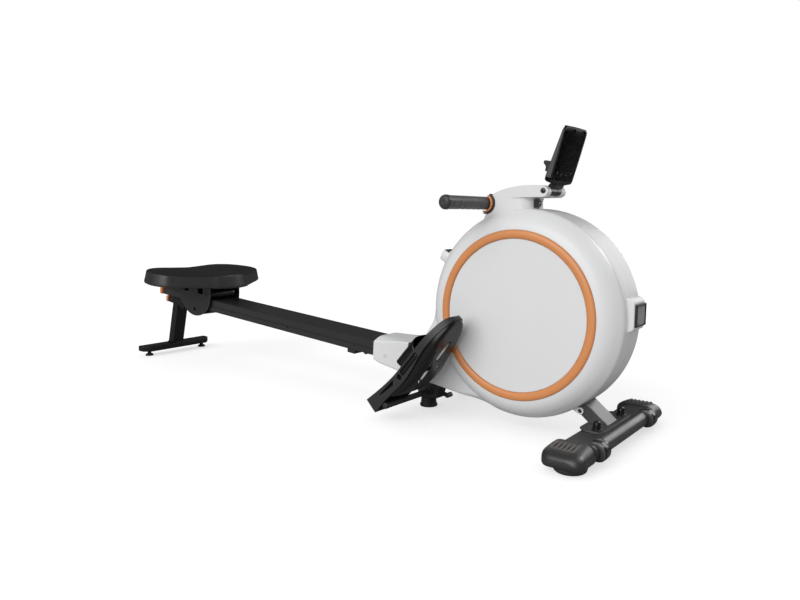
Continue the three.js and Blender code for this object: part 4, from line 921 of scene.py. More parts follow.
def fromRail(x, z):
    spot = drumFrame.inverted() @ railFrame @ Vector((x * mm, 0, z * mm))
    return spot.x / mm, spot.z / mm


def makePost():
    foot, half = stand["foot"], stand["postX"]
    topX = stand["saddleRear"] - 7
    post = prism("standPost", [(foot - half, stand["barTop"] + 0.3), (foot + half, stand["barTop"] + 0.3),
                               fromRail(topX + half, -64.5), fromRail(topX - half, -64.5)], "Y", -stand["postY"],
                 stand["postY"])
    soften(post, 3.5, 4, 50)
    # a weld bead round the foot of the post
    bead = prism("bead", [(foot - half - 1.8, stand["barTop"] + 0.3), (foot + half + 1.8, stand["barTop"] + 0.3),
                          (foot + half + 0.2, stand["barTop"] + 3.2), (foot - half - 0.2, stand["barTop"] + 3.2)],
                 "Y", -stand["postY"] - 1.6, stand["postY"] + 1.6, soft=1.2, steps=3)
    combine(post, bead, "UNION")
    return smooth(post, 40)


def makeSaddle():
    rear, front = stand["saddleRear"], stand["saddleRear"] + stand["saddleLong"]
    floorPlate = block("saddle", (rear, front), (-59, 59), (-61.5, -57.9), soft=0.8)
    head = block("head", (rear - 29, rear + 6), (-40, 40), (-66.5, -60.2), soft=1.2)
    parts = [floorPlate, head, block("step", (rear, rear + 6), (-40, 40), (-66, -60.5), soft=0.8)]
    cheek = [(rear, -61.5), (front - 30, -65, 8), (front - 22, -76, 6), (front - 6, -76, 6), (front, -63, 6),
             (front, -41, 8), (rear + 6, -41, 4), (rear, -46, 3)]
    for sign, _ in sides:
        low, high = sorted((sign * 56.1, sign * 59.1))
        parts.append(prism("cheek", cheek, "Y", low, high, soft=0.8))
    return smooth(joined("standSaddle", *parts), 40)


put(makePost(), drumFrame, "rail", "black_paint", standCoat, "stand_post")
put(makeSaddle(), railFrame, "rail", "black_paint", standCoat)
for sign, side in sides:
    for number, x in enumerate(stand["bolts"], 1):
        head = screw(f"saddleBolt{side}{number}", (x, sign * 59.0, -50), (0, sign, 0), 5.0, 2.6, 2.6)
        put(head, railFrame, "rail", "steel", darkSteel)


def makeStandBar():
    foot, half = stand["foot"], stand["barHalf"]
    rear, front = foot - 28, foot + 28
    plan = [(rear, -half, 5), (foot + 3, -half, 5), (front, -half + 23, 6), (front, half - 23, 6),
            (foot + 3, half, 5), (rear, half, 5)]
    piece = prism("standBar", plan, "Z", stand["barBottom"], stand["barTop"], arcs=6)
    soften(piece, 3.4, 4, 50)
    for sign, _ in sides:
        cutRod(piece, 4.4, 0, 31, "Z", at=(foot, sign * stand["feetY"], 0), steps=24)
    return smooth(piece, 40)


put(makeStandBar(), drumFrame, "rail", "black_paint", standCoat, "stand_bar")


def makeLevellingFoot(name, sign):
    profile = [(0, 0), (13.6, 0), (14.6, 0.6), (15, 1.8), (15, 3.2), (14.3, 5.0), (12.4, 6.8), (9.6, 8.2), (7.2, 8.8),
               (6.8, 9.4), (6.8, 13.6), (6.2, 14.2), (3.9, 14.2), (3.9, 30), (0, 30)]
    return smooth(turned(name, profile, "Z", at=(stand["foot"], sign * stand["feetY"], 0), steps=48), 40)


for sign, side in sides:
    node = "levelling_foot_" + side.lower()
    put(makeLevellingFoot("levellingFoot" + side, sign), drumFrame, node, "rubber", mattRubber, node)
print("stand made")


# The carriage: two plates, the plate under the seat, and three rollers.
carriage = {
    "near": 62, "far": 65, "top": 30, "rollerZ": 3.0, "keeperZ": -65.8, "front": -935, "rear": -1093, "keeper": -1003,
    "axleHole": 5.2, "keeperHole": 7.6, "keeperBolt": -62, "flangeTo": -48,
}


def makeSidePlate(name):
    around = curved([(-909, -8), (-911, -24), (-917, -40), (-929, -55), (-949, -70), (-975, -81.5), (-1003, -85.5),
                     (-1030, -82), (-1054, -71.5), (-1077, -54), (-1094, -35), (-1106, -14), (-1112, 6)], 4,
                    closed=False)
    piece = prism(name, [(-909, carriage["top"] - 3)] + around + [(-1112, carriage["top"] - 3)], "Y",
                  -carriage["far"], -carriage["near"])
    for low, high in ((-985, -954), (-1072, -1042)):
        cutPrism(piece, [(low, 0.5, 2.5), (high, 0.5, 2.5), (high, 22, 2.5), (low, 22, 2.5)], "Y", -70, -55)
    cutRod(piece, carriage["keeperHole"], -70, -55, at=(carriage["keeper"], 0, carriage["keeperBolt"]))
    for x in (carriage["front"], carriage["rear"]):
        cutRod(piece, carriage["axleHole"], -70, -55, at=(x, 0, carriage["rollerZ"]), steps=24)
    soften(piece, 0.5, 1, 50)
    selectOnly(piece)
    bpy.ops.object.shade_flat()
    bpy.ops.object.shade_smooth_by_angle(angle=math.radians(24))
    flange = block("flange", (-1108, -912), (-carriage["far"], carriage["flangeTo"]),
                   (carriage["top"] - 3, carriage["top"]), soft=0.8)
    return smooth(joined(name, piece, flange), 24)


putPair(makeSidePlate("sidePlateRight"), railFrame, "carriage", "black_paint", powderCoat, "side_plate_{}")
axleBolt = [(5.4, 0.2), (7.6, 0.2), (7.6, 1.2), (6.8, 1.6), (5.0, 1.8), (4.2, 3.0), (0.01, 3.4), (0.01, 0.6),
            (5.4, 0.6)]
keeper = carriage["keeper"]
for sign, side in sides:
    for number, x in enumerate((carriage["front"], carriage["rear"]), 1):
        bolt = turned(f"axleBolt{side}{number}", axleBolt, "Z", steps=32)
        place(bolt, facing((x, sign * carriage["far"], carriage["rollerZ"]), (0, sign, 0)))
        put(smooth(bolt, 40), railFrame, "carriage", "steel", darkSteel)
    backing = rod("backing", 12, *sorted((sign * 58.6, sign * 61.9)), at=(keeper, 0, carriage["keeperBolt"]))
    nut = joined("keeperNut" + side, backing, screw("nut", (keeper, sign * 62.2, -62.5), (0, sign, 0), 5.0, 2.4, 2.2))
    put(nut, railFrame, "carriage", "black_paint", satinBlack)

# a bent sheet closes the carriage below the keeper
guardSize = {"centre": (keeper, -58.5), "outer": 26.2, "inner": 24.4, "from": -158, "to": -34, "half": 61.8}
outer, inner = (arc(guardSize["centre"], guardSize[edge], guardSize["from"], guardSize["to"], 24)
                for edge in ("outer", "inner"))
guard = prism("keeperGuard", outer + inner[::-1], "Y", -guardSize["half"], guardSize["half"])
put(smooth(guard, 40), railFrame, "carriage", "black_paint", satinBlack)


def makeRoller(name, radius, half, journal, x, z):
    end = carriage["far"] - 0.5
    profile = [(0, -end), (journal, -end), (journal, -half - 3)]
    profile += [(radius - 6, -half - 3), (radius - 2.4, -half - 2.2), (radius - 0.6, -half), (radius, -half + 2.4)]
    for y in (-half + 9, half - 11):
        profile += [(radius, y), (radius - 0.9, y + 0.5), (radius - 0.9, y + 1.5), (radius, y + 2)]
    profile += [(radius, half - 2.4), (radius - 0.6, half), (radius - 2.4, half + 2.2), (radius - 6, half + 3),
                (journal, half + 3), (journal, end), (0, end)]
    return smooth(turned(name, profile, at=(x, 0, z), steps=72), 30)


for name, node, radius, journal, x, z in (
        ("frontRoller", "front_roller", 17.2, 5, carriage["front"], carriage["rollerZ"]),
        ("rearRoller", "rear_roller", 17.2, 5, carriage["rear"], carriage["rollerZ"]),
        ("keeperRoller", "keeper_roller", 8, 4, carriage["keeper"], carriage["keeperZ"])):
    roller = makeRoller(name, radius, 50, journal, x, z)
    put(roller, railFrame, node, "rubber", glossyRubber, node)

mountPlate = prism("seatBase", [(-1112, -71, 8), (-905, -71, 8), (-905, 71, 8), (-1112, 71, 8)], "Z", 30.3, 33.7,
                   soft=0.8)
for x in (-1080, -937):
    for y in (-52, 52):
        combine(mountPlate, turned("bolt", [(0, 27.5), (5.5, 27.5), (6, 28), (6, 31), (0, 31)], "Z", at=(x, y, 0),
                                   steps=6), "UNION")
put(smooth(mountPlate, 40), railFrame, "carriage", "black_paint", powderCoat, "seat_base")
print("carriage made")


# The seat: one moulded foam pad with a crisp edge between its skirt and its dished top.
seatSize = {
    "bottom": 34.1,
    "outline": [(-843, 0, 49), (-847, 30, 48.5), (-858, 58, 45), (-879, 85, 40), (-917, 137, 38.5), (-945, 175, 40),
                (-975, 208, 42.5), (-1020, 222.5, 43.5), (-1060, 220.5, 44), (-1107, 206, 44), (-1140, 182, 44),
                (-1163, 146, 43.5), (-1169.5, 108, 42.5), (-1166, 70, 41), (-1159, 30, 40), (-1156.5, 0, 39.5)],
    "centre": (-1030, 0), "level": 41.5,
}
# the lobes, the nose, the dip at the tail and the scoops beside the nose: place, length, width and rise
seatSwells = [(-1065, 132, 78, 62, 8.5), (-880, 0, 52, 44, 8.5), (-1115, 0, 60, 48, -3.0), (-905, 100, 50, 40, -2.0)]


def seatTopHeight(x, y):
    level = seatSize["level"]
    for spotX, spotY, long, wide, rise in seatSwells:
        level += rise * math.exp(-((abs(y) - spotY) / wide) ** 2 - ((x - spotX) / long) ** 2)
    return level


def makeSeat():
    half = seatSize["outline"]
    loop = curved(half + [(x, -y, h) for x, y, h in reversed(half[1:-1])], 6)
    centre = Vector(seatSize["centre"])
    inwards = []
    for i in range(len(loop)):
        before, after = Vector(loop[i - 1][:2]), Vector(loop[(i + 1) % len(loop)][:2])
        direction = (after - before).normalized()
        normal = Vector((-direction.y, direction.x))
        if normal.dot(centre - Vector(loop[i][:2])) < 0:
            normal = -normal
        inwards.append(normal)

    def row(inset, height):
        return [(x + n.x * inset, y + n.y * inset, height(h)) for (x, y, h), n in zip(loop, inwards)]

    low = seatSize["bottom"]
    rows = [[(centre.x, 0, low)] * len(loop), row(40, lambda h: low), row(10, lambda h: low),
            row(2.5, lambda h: low + 0.1), row(0.6, lambda h: low + 0.9), row(0, lambda h: low + 3),
            row(0.6, lambda h: low + 9)]
    rows += [row(1.6 + 5.2 * t, lambda h, t=t: low + 12 + (h - 17.5) * t) for t in (0.25, 0.5, 0.75, 1.0)]
    rows += [row(7.4, lambda h: low + h - 3.0), row(8.2, lambda h: low + h - 1.4), row(9.6, lambda h: low + h - 0.35),
             row(11.6, lambda h: low + h)]
    rim = row(14.5, lambda h: low + h)
    for t in (0.0, 0.07, 0.15, 0.24, 0.34, 0.45, 0.57, 0.7, 0.83, 0.93, 1.0):
        blend = min(t / 0.32, 1)
        blend = blend * blend * (3 - 2 * blend)
        ring = []
        for (x, y, z), (_, _, h) in zip(rim, loop):
            px, py = x + (centre.x - x) * t, y * (1 - t)
            ring.append((px, py, z * (1 - blend) + (low + seatTopHeight(px, py)) * blend))
        rows.append(ring)
    piece = skin("seatPad", rows, capped=False)
    selectOnly(piece)
    bpy.ops.object.shade_smooth_by_angle(angle=math.radians(60))
    return piece


seatPiece = put(makeSeat(), railFrame, "carriage", "vinyl", seatVinyl, "seat")
# faces that look up take the darker copy of the vinyl: painted shade on the dished top
seatPiece.data.materials.append(seatShadedTop)  # the dished top inside the crease
for face in seatPiece.data.polygons:
    face.material_index = 1 if face.normal.z > 0.8 else 0
print("seat made")


# The pull handle: a bar with a middle hub, and two foam grips.
def makeHandleBar():
    hub, tube = handle["hub"], handle["tube"]
    half = [(0, -223.5), (tube, -223.5), (tube, -30.4), (hub - 3.4, -30.2), (hub - 1.6, -29.4), (hub, -26.5),
            (hub, -9), (hub - 0.9, -8.2), (hub - 0.9, -7.2), (hub, -6.4)]
    return smooth(turned("handleBar", bothEnds(half), at=(handle["x"], 0, handle["z"])), 35)


put(makeHandleBar(), drumFrame, "handle", "black_plastic", blackMould, "handle_bar")


def gripRadius(y, angle):
    # y runs outwards from the hub; angle 0 is up, 90 is towards the rower's side of the bar
    end, radius = handle["end"], handle["radius"]
    value = radius
    if y < 36:
        value = radius - 1.4 * ((36 - y) / 5) ** 2
    lower = max(0.0, -math.cos(math.radians(angle)))
    if 60 < y < 178:
        value -= 0.75 * lower ** 1.5 * (0.5 + 0.5 * math.cos(2 * math.pi * (y - 60) / 23.6 + math.pi))
    seam = handle["seamAt"] + handle["seamLean"] * math.cos(math.radians(angle - 60))
    value -= 1.0 * math.exp(-((y - seam) / 1.1) ** 2)
    across = (angle - 75 + 180) % 360 - 180
    oval = math.sqrt(((y - 128) / 44) ** 2 + (across / 24) ** 2)
    value -= 0.75 * math.exp(-((oval - 1) / 0.07) ** 2)
    neckIn = end - 19
    if y > neckIn - 4:
        value -= 0.9 * math.exp(-((y - neckIn) / 1.4) ** 2)
    if y > neckIn:
        value += 1.2 * min((y - neckIn) / 4, 1)
    return value


def makeGrip(name):
    end, inner = handle["end"], handle["inner"]
    stations = [inner + 0.02] + [inner + 1.2 * k for k in range(1, int((end - 9 - inner) / 1.2) + 1)]
    angles = [5 * c for c in range(72)]

    def around(y, radiusAt):
        return [(handle["x"] - radiusAt(a) * math.sin(math.radians(a)), -y,
                 handle["z"] + radiusAt(a) * math.cos(math.radians(a))) for a in angles]

    rows = [around(inner, lambda a: handle["tube"] + 0.4)]
    rows += [around(y, lambda a, y=y: gripRadius(y, a)) for y in stations]
    # a rounded end with a dimple
    for r, back in ((17.3, 8.5), (16.9, 6.2), (15.9, 4.2), (14.4, 2.6), (12.4, 1.3), (10, 0.5), (7.4, 0.1), (4.6, 0),
                    (3.0, 0.1), (2.3, 0.8), (1.3, 1.5), (0, 1.7)):
        rows.append(around(end - back, lambda a, r=r: r))
    return smooth(skin(name, rows, capped=False), 60)


for grip in putPair(makeGrip("gripRight"), drumFrame, "handle", "foam", gripFoam, "grip_{}"):
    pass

clipSize = {"body": ((-87.1, -71.4), (-12.5, 12.5), (564, 572)), "slot": ((-80, -76.5), (-11.2, 11.2), (560, 576)),
            "bar": (-78.2, 0, 568)}
clip = block("strapClip", *clipSize["body"], soft=1.4, steps=3)
cutBlock(clip, *clipSize["slot"], soft=0.6)
put(smooth(clip, 40), drumFrame, "handle", "black_plastic", blackMould, "strap_clip")

# The pull strap: from the clip over the guide roller and down to the spool; its level run is laid in short even
# steps.
strap = {"half": 11, "thin": 0.8, "level": 568.1, "clip": -71.1, "roller": -46, "turn": (-30, 553), "around": 15.1,
         "spool": (-43.9, 400)}


def makeStrap():
    run = strap["roller"] - strap["clip"]
    path = [(strap["clip"] + run * k / 24, strap["level"]) for k in range(25)] + [(strap["turn"][0], strap["level"])]
    path += arc(strap["turn"], strap["around"], 75, 0, 5) + [strap["spool"]]
    rows = []
    for k, (x, z) in enumerate(path):
        (x0, z0), (x1, z1) = path[max(k - 1, 0)], path[min(k + 1, len(path) - 1)]
        length = math.hypot(x1 - x0, z1 - z0)
        dx, dz = (z0 - z1) / length * strap["thin"], (x1 - x0) / length * strap["thin"]
        rows.append([(x + dx, -strap["half"], z + dz), (x + dx, strap["half"], z + dz),
                     (x - dx, strap["half"], z - dz), (x - dx, -strap["half"], z - dz)])
    return smooth(skin("pullStrap", rows), 40)


strapPiece = place(makeStrap(), drumFrame)
strapPiece.data.materials.append(nylonWebbing)
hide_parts("pull_strap")
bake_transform(strapPiece)
clipBar = rod("clipBuckle", 1.6, -11.4, 11.4, at=clipSize["bar"], steps=20)
put(smooth(clipBar, 40), drumFrame, "handle", "steel", plainSteel)
print("handle made")


# The device holder: hinge, plate with a ribbed back, and a sprung ledge.
holder = {"half": 61, "bottom": 25.0, "top": 157.5, "back": 15.4, "pocket": 3.4, "border": 4.2, "ovalAt": (0, 95),
          "posts": [(-36, 47), (-13, 43), (13, 43), (36, 47)], "upperPosts": [(-44, 128), (44, 128)]}


def makeHinge():
    half = [(0, -41), (5, -41), (5, -27.6), (9.8, -27.6), (11, -26.4), (11, -10), (10.4, -9.4)]
    barrel = turned("holderHinge", bothEnds(half))
    stem = prism("stem", [(-5, 5), (7, 5), (14.2, 14, 4), (14.2, 24), (3.6, 24), (-3.5, 14, 4)], "Y", -24.5, 24.5,
                 soft=1.4, steps=3)
    combine(barrel, stem, "UNION")
    return smooth(barrel, 35)


put(makeHinge(), holderFrame, "holder", "black_plastic", hingeGloss, "holder_hinge")


def rib(name, start, end, width=1.7, depth=(0, 0)):
    # A straight rib across the pocket, between two (y, z) points.
    a, b = Vector(start), Vector(end)
    direction = (b - a).normalized()
    side = Vector((-direction.y, direction.x)) * width / 2
    corners = [tuple(a + side), tuple(a - side), tuple(b - side), tuple(b + side)]
    return prism(name, corners, "X", depth[0], depth[1])


def makeHolderPlate():
    back, bottom, top, half = holder["back"], holder["bottom"], holder["top"], holder["half"]
    side = [(back - 1.0, bottom - 8), (back, bottom - 3, 3), (back, top - 8, 4), (back - 1.6, top, 1.5),
            (back - 6.5, top, 2), (back - 7.4, top - 3.6, 1.5), (back - 5.2, top - 6, 1.5), (back - 15, bottom + 12),
            (back - 15, bottom + 2), (back - 8, bottom - 8, 5)]
    piece = prism("deviceHolder", side, "Y", -half, half)
    face = [(-half + 2, bottom - 1, 9), (-26, bottom - 5.5, 8), (26, bottom - 5.5, 8), (half - 2, bottom - 1, 9),
            (half, bottom + 40, 30), (half, top - 20, 12), (half - 3, top - 3, 12), (0, top, 60),
            (-half + 3, top - 3, 12), (-half, top - 20, 12), (-half, bottom + 40, 30)]
    combine(piece, prism("outline", face, "X", -20, 40, arcs=8), "INTERSECT")
    soften(piece, 1.1, 3, 40)
    low, high = bottom + holder["border"], top - holder["border"] - 2
    wide = half - holder["border"] - 1
    field = [(-wide + 2, low, 7), (wide - 2, low, 7), (wide, low + 36, 20), (wide, high - 12, 9), (wide - 3, high, 7),
             (-wide + 3, high, 7), (-wide, high - 12, 9), (-wide, low + 36, 20)]
    cutPrism(piece, field, "X", back - holder["pocket"], back + 5, arcs=6)
    centre = holder["ovalAt"]
    depth = (back - holder["pocket"] - 0.5, back - 0.9)
    ends = [(-wide + 1, low + 6), (-wide + 1, high - 6), (wide - 1, low + 6), (wide - 1, high - 6), (0, low - 1),
            (0, high - 1), (-wide - 1, centre[1]), (wide + 1, centre[1])]
    ribs = [rib("rib", centre, end, 3.0, depth) for end in ends]
    outer, inner = ([(wide * math.cos(a * math.pi / 24), centre[1] + tall * math.sin(a * math.pi / 24))
                     for a in range(48)] for wide, tall in ((24.0, 37), (21.2, 34.2)))
    oval = prism("oval", outer, "X", *depth)
    cutPrism(oval, inner, "X", depth[0] - 2, depth[1] + 2)
    ribs.append(oval)
    for y, z in holder["posts"] + holder["upperPosts"]:
        post = turned("post", [(0, depth[0]), (4.2, depth[0]), (4.2, depth[1] - 0.6), (3.6, depth[1] - 0.2),
                               (0, depth[1] - 0.2)], "X", at=(0, y, z), steps=28)
        ribs.append(post)
    cutBlock(piece, (-20, back - holder["pocket"] - 1.4), (-4.7, 4.7), (36, 72))
    return smooth(piece, 14), smooth(joined("holderWeb", *ribs), 35)


plate, web = makeHolderPlate()
put(web, holderFrame, "holder", "black_plastic", satinBlack)
put(plate, holderFrame, "holder", "black_plastic", satinBlack, "device_holder")
for number, (y, z) in enumerate(holder["posts"], 1):
    head = screw(f"holderScrew{number}", (holder["back"] - 0.6, y, z), (1, 0, 0), 2.9, 1.5, 1.3)
    put(head, holderFrame, "holder", "steel", darkSteel)


def makeSidePanel(name, sign):
    # a smooth outer wall along each edge of the plate
    half = holder["half"]
    outline = [(14.4, 34), (14.4, 146), (9.6, 146), (2.6, 60), (0.8, 34)]
    low, high = sorted((sign * (half - 1.2), sign * (half + 0.5)))
    return smooth(prism(name, outline, "Y", low, high, soft=0.5), 40)


for sign, side in sides:
    put(makeSidePanel("holderEdge" + side, sign), holderFrame, "holder", "black_plastic", greyMould)


def makeLedge():
    def front(z):
        return 0.4 + 10 * max(z - 40.6, 0) / 109.8
    low, high = 45, 69
    jaw = [(front(36) - 0.7, low), (front(36) - 0.7, high), (front(high) - 19, high, 3),
           (front(high) - 20, high - 7, 3), (front(low) - 9, high - 13, 3), (front(low) - 8, low, 2)]
    piece = prism("holderLedge", jaw, "Y", -55, 55)
    soften(piece, 1.3, 3, 40)
    tongue = block("tongue", (front(low) - 4, holder["back"] - holder["pocket"] - 1.6), (-4.3, 4.3), (52, high),
                   soft=0.4)
    combine(piece, tongue, "UNION")
    for k in range(-5, 6):
        cutBlock(piece, (front(high) - 20, front(high) - 2), (9 * k - 0.7, 9 * k + 0.7), (high - 0.7, high + 3))
    return smooth(piece, 35)


put(makeLedge(), holderFrame, "holder_ledge", "grey_plastic", blackMould, "holder_clip")
print("device holder made")


# Pedals, in the pedal frame: s along the sole, n out of it.
pedal = {
    "near": 103, "far": 215, "end": 212.5, "toeFrom": 108,
    "top": [(-131, 31), (-100, 25.5), (-67, 20), (-36, 16.3), (-5, 14), (32, 14.4), (70, 15.5), (110, 16.0),
            (147, 15.6), (176, 14.8), (191, 13.8), (202, 11.6), (209, 7.2), (212.5, 0.5)],
    "wallEdge": [(210, -4.2), (180, -2.6), (135, -2.4), (94, -5), (60, -10.5), (29, -15.4), (2, -17), (-23, -16),
                 (-45, -13.8), (-67, -12), (-90, -10.6), (-112, -10.3), (-134, -10.5)],
    "belly": [(-64, -12), (-60, -20), (-44, -29), (-21, -35.5), (13, -40), (40, -40.5), (64, -38), (92, -33.5),
              (122, -28), (154, -21.5), (184, -16), (198, -12.4), (211, -6.4)],
}
viewSlots = [[(113, -2.4), (113, -8.0), (49, -11.4), (49, -5.8)], [(26, -3.6), (26, -9.2), (-42, -14.0), (-42, -8.4)],
             [(41.8, -19), (36.6, -18.8), (34.4, -25.4), (39.6, -25.6)]]


def pedalPlan(inset):
    near, far = pedal["near"] + inset, pedal["far"] - inset
    end, start = pedal["end"] - inset, pedal["toeFrom"]
    middle = -(near + far) / 2
    half = (far - near) / 2
    toe = []
    for k in range(41):
        turn = math.pi * (0.5 - k / 40)
        toe.append((start + (end - start) * math.cos(turn), middle + half * math.sin(turn)))
    return [(-150, -near)] + toe + [(-150, -far)]


def slanted(name, corners):
    # A cut that runs across the pedal on a slant, wide enough to see through.
    rows = [[(s - 0.67 * dy, -107 + dy, n + 0.361 * dy) for s, n in corners] for dy in (-92, 14)]
    return skin(name, rows)


def pedalCut(piece):
    for corners in viewSlots:
        combine(piece, slanted("cutter", corners))
    return piece


def makePedalPlate(name):
    corners = curved(pedal["top"], 3, closed=False) + curved(pedal["wallEdge"], 3, closed=False)
    piece = prism(name, corners, "Y", -pedal["far"], -pedal["near"])
    combine(piece, prism("plan", pedalPlan(0), "Z", -60, 60, arcs=10), "INTERSECT")
    soften(piece, 2.8, 4, 50)
    inner = prism("cutter", [(204, -6), (190, 0.5), (147, 8.8), (70, 11), (-5, 9.5), (-60, 15), (-126, 25),
                             (-126, -60), (204, -60)], "Y", -pedal["far"] + 5, -pedal["near"] - 5)
    combine(inner, prism("plan", pedalPlan(5), "Z", -80, 60, arcs=10), "INTERSECT")
    combine(piece, inner)
    for y in (-pedal["near"] - 8, -pedal["far"] + 8 + 3):
        cutBlock(piece, (15.6, 82.4), (y - 3.4, y + 0.4), (5, 40))
    # the strap's lower end shows in a long opening in the outer wall
    cutPrism(piece, [(11, 8.6, 4), (86, 9.8, 4), (86, -4.5, 4), (11, -6.5, 4)], "Y", -220, -206)
    cutRod(piece, 7.4, -220, -206, steps=40)
    cutPrism(piece, [(-86, 12.0, 1), (-22, 8.4, 3), (-30, -1.5, 3), (-86, 9.0, 1)], "Y", -220, -206)
    soften(piece, 0.5, 2, 60)
    # grip ribs on the sole
    for k in range(13):
        s = -112 + 22 * k
        if 10 < s < 88:
            continue
        height = along(sorted(pedal["top"]), s)
        combine(piece, block("rib", (s - 2, s + 2), (-pedal["far"] + 18, -pedal["near"] - 18),
                             (height - 1.5, height + 0.9), soft=0), "UNION")
    return piece


def makePedalHull(name):
    # Rounded sections along the sole, from the heel side to a blunt toe.
    middle = -(pedal["near"] + pedal["far"]) / 2
    rows = []
    stations = [-64, -60, -54, -46] + [-38 + 8 * k for k in range(17)] + [101, 103.4, 104.4, 105.4, 107.8]
    stations += [114, 122, 130, 138, 146, 154, 162, 170, 177, 183, 188, 192.5, 196.5, 200, 203, 205.4, 207]
    for s in stations:
        bottom, top = along(pedal["belly"], s), along(sorted(pedal["wallEdge"]), s) + 7
        width = (pedal["far"] - pedal["near"]) / 2 - 1.6
        if s > 112:
            width *= max(1 - ((s - 112) / 96) ** 2.3, 0) ** 0.55
        if s > 190:
            bottom, top = bottom + (s - 190) ** 2 * 0.01, min(top, along(sorted(pedal["top"]), s) - 3)
        if abs(s - 104.4) < 0.1:
            width, bottom = width - 0.9, bottom + 0.9
        lean = 0.42 * math.exp(-((s - 104.4) / 34) ** 2)
        ring = []
        for k in range(48):
            a = 2 * math.pi * k / 48
            c, d = math.cos(a), math.sin(a)
            high = max(top, bottom + 2)
            n = (high + bottom) / 2 + (high - bottom) / 2 * math.copysign(abs(d) ** 0.62, d)
            ring.append((s + lean * (n + 20), middle + width * math.copysign(abs(c) ** 0.42, c), n))
        rows.append(ring)
    return skin(name, rows)


def makeHub(name):
    profile = [(6.2, -210.5), (6.2, -104), (7, -104), (7.2, -104.5), (7.2, -210), (7, -210.5)]
    return smooth(turned(name, profile, steps=40), 40)


for piece, material, nodes in (
        (smooth(pedalCut(makePedalPlate("pedalSoleRight")), 30), pedalMould, ["pedal_{}"]),
        (melted(pedalCut(makePedalHull("pedalHullRight")), 1.3, 4), hullBlack, []),
        (makeHub("pedalHubRight"), satinBlack, [])):
    putPair(piece, pedalFrame, "pedal_{}", "black_plastic", material, *nodes)

footStrap = {"from": 16, "to": 82, "middle": -159, "half": 46, "height": 31, "base": 15, "thick": 3.0}
# the strap's section: across, and up from its underside as a share of its thickness; a groove runs along each edge
strapHalf = [(-0.985, 0.75), (-0.95, 1), (-0.9, 1.0), (-0.88, 0.7), (-0.86, 0.7), (-0.84, 1.0), (-0.5, 1.04)]
strapSection = [(-1, 0.15), *strapHalf, (0, 1.06), *[(-u, w) for u, w in strapHalf[::-1]], (1, 0.15), (0.985, -0.02),
                (0.5, 0), (0, 0), (-0.5, 0), (-0.985, -0.02)]


def makeFootStrap(name):
    # An arched rubber strap: wide on top, drawn in towards its ends.
    rows = []
    span, count = footStrap["half"], 40
    path = [(span, 2), (span, 8)]
    for i in range(count + 1):
        a = math.pi * i / count
        c, s = math.cos(a), math.sin(a)
        path.append((span * math.copysign(abs(c) ** 0.68, c),
                     footStrap["base"] + footStrap["height"] * abs(s) ** 0.74))
    path += [(-span, 8), (-span, 2)]
    middle = (footStrap["from"] + footStrap["to"]) / 2
    halfWidth = (footStrap["to"] - footStrap["from"]) / 2
    for i, (y, n) in enumerate(path):
        before, after = Vector(path[max(i - 1, 0)]), Vector(path[min(i + 1, len(path) - 1)])
        direction = (after - before).normalized()
        normal = Vector((direction.y, -direction.x))
        rise = min(max((n - 10) / 40, 0), 1)
        half = halfWidth - 3 + 14 * rise ** 1.6
        if n < 16:
            half = 33
        section = []
        for u, w in strapSection:
            lift = normal * (w - 0.5) * footStrap["thick"]
            section.append((middle + u * half + (6 * rise if u > 0 else -2 * rise) * abs(u),
                            footStrap["middle"] + y + lift.x, n + lift.y))
        rows.append(section)
    return smooth(skin(name, rows), 40)


putPair(makeFootStrap("footStrapRight"), pedalFrame, "pedal_{}", "rubber", strapRubber, "foot_strap_{}")


def makeStrapEnd(name):
    # The rolled end of the strap in the pedal's outer wall.
    piece = prism(name, [(14, 6.8, 3), (83, 8.0, 3), (83, -2.6, 3), (14, -4.6, 3)], "Y", -214.2, -208.2)
    soften(piece, 2.2, 4, 40)
    return smooth(piece, 40)


putPair(makeStrapEnd("strapEndRight"), pedalFrame, "pedal_{}", "rubber", strapRubber)
print("pedals made")


# The bar under the pedals, its bracket with a small catch, and the middle foot.
under = {"bar": (-300, 0, 48.5), "foot": (-315, 0, 0)}

half = [(0, -214), (6.2, -214), (7.8, -213.2), (8.5, -211.5), (8.5, -201), (8.1, -200.6)]
crossBar = turned("pedalCrossbar", bothEnds(half), at=under["bar"], steps=48)
put(smooth(crossBar, 40), drumFrame, "body", "black_paint", powderCoat, "pedal_crossbar")


def makeFootBracket():
    def tailLine(x):
        return 53 - 0.1368 * (x + 33) - 0.4
    outline = [(-332, tailLine(-332)), (-256, tailLine(-256)), (-266, 62, 6), (-276, 28.3, 6), (-333, 28.3, 5),
               (-341, 44, 8)]
    piece = prism("footBracket", outline, "Y", -20, 20, soft=2.2, steps=3)
    tube = turned("socket", bothEnds([(0, -26), (12.2, -26), (13, -25.2)]), at=under["bar"], steps=48)
    combine(piece, tube, "UNION")
    cutRod(piece, 8.8, -70, 70, at=under["bar"], steps=48)
    arm = prism("arm", [(-285, 33), (-257, 33, 2), (-257, 41, 2), (-285, 47)], "Y", 7, 17, soft=1.6, steps=3)
    combine(piece, arm, "UNION")
    knobEnd = turned("catch", [(0, 2), (5.4, 2), (6.6, 3), (7, 4.6), (7, 21.4), (6.6, 23.4), (5.4, 25), (0, 26)],
                     at=(-255, 0, 38), steps=40)
    combine(piece, knobEnd, "UNION")
    return smooth(piece, 35)


put(makeFootBracket(), drumFrame, "body", "black_paint", powderCoat, "foot_bracket")


def makeMiddleFoot():
    profile = [(0, 0), (21, 0), (23.6, 0.6), (24.7, 2.0), (25, 4), (24.6, 7.2), (23.4, 8.4), (22.6, 9.4), (21.6, 20),
               (21.2, 25.6), (20.4, 27.4), (18.8, 28), (0, 28)]
    return smooth(turned("middleFoot", profile, "Z", at=under["foot"]), 35)


put(makeMiddleFoot(), drumFrame, "body", "rubber", mattRubber, "middle_foot")


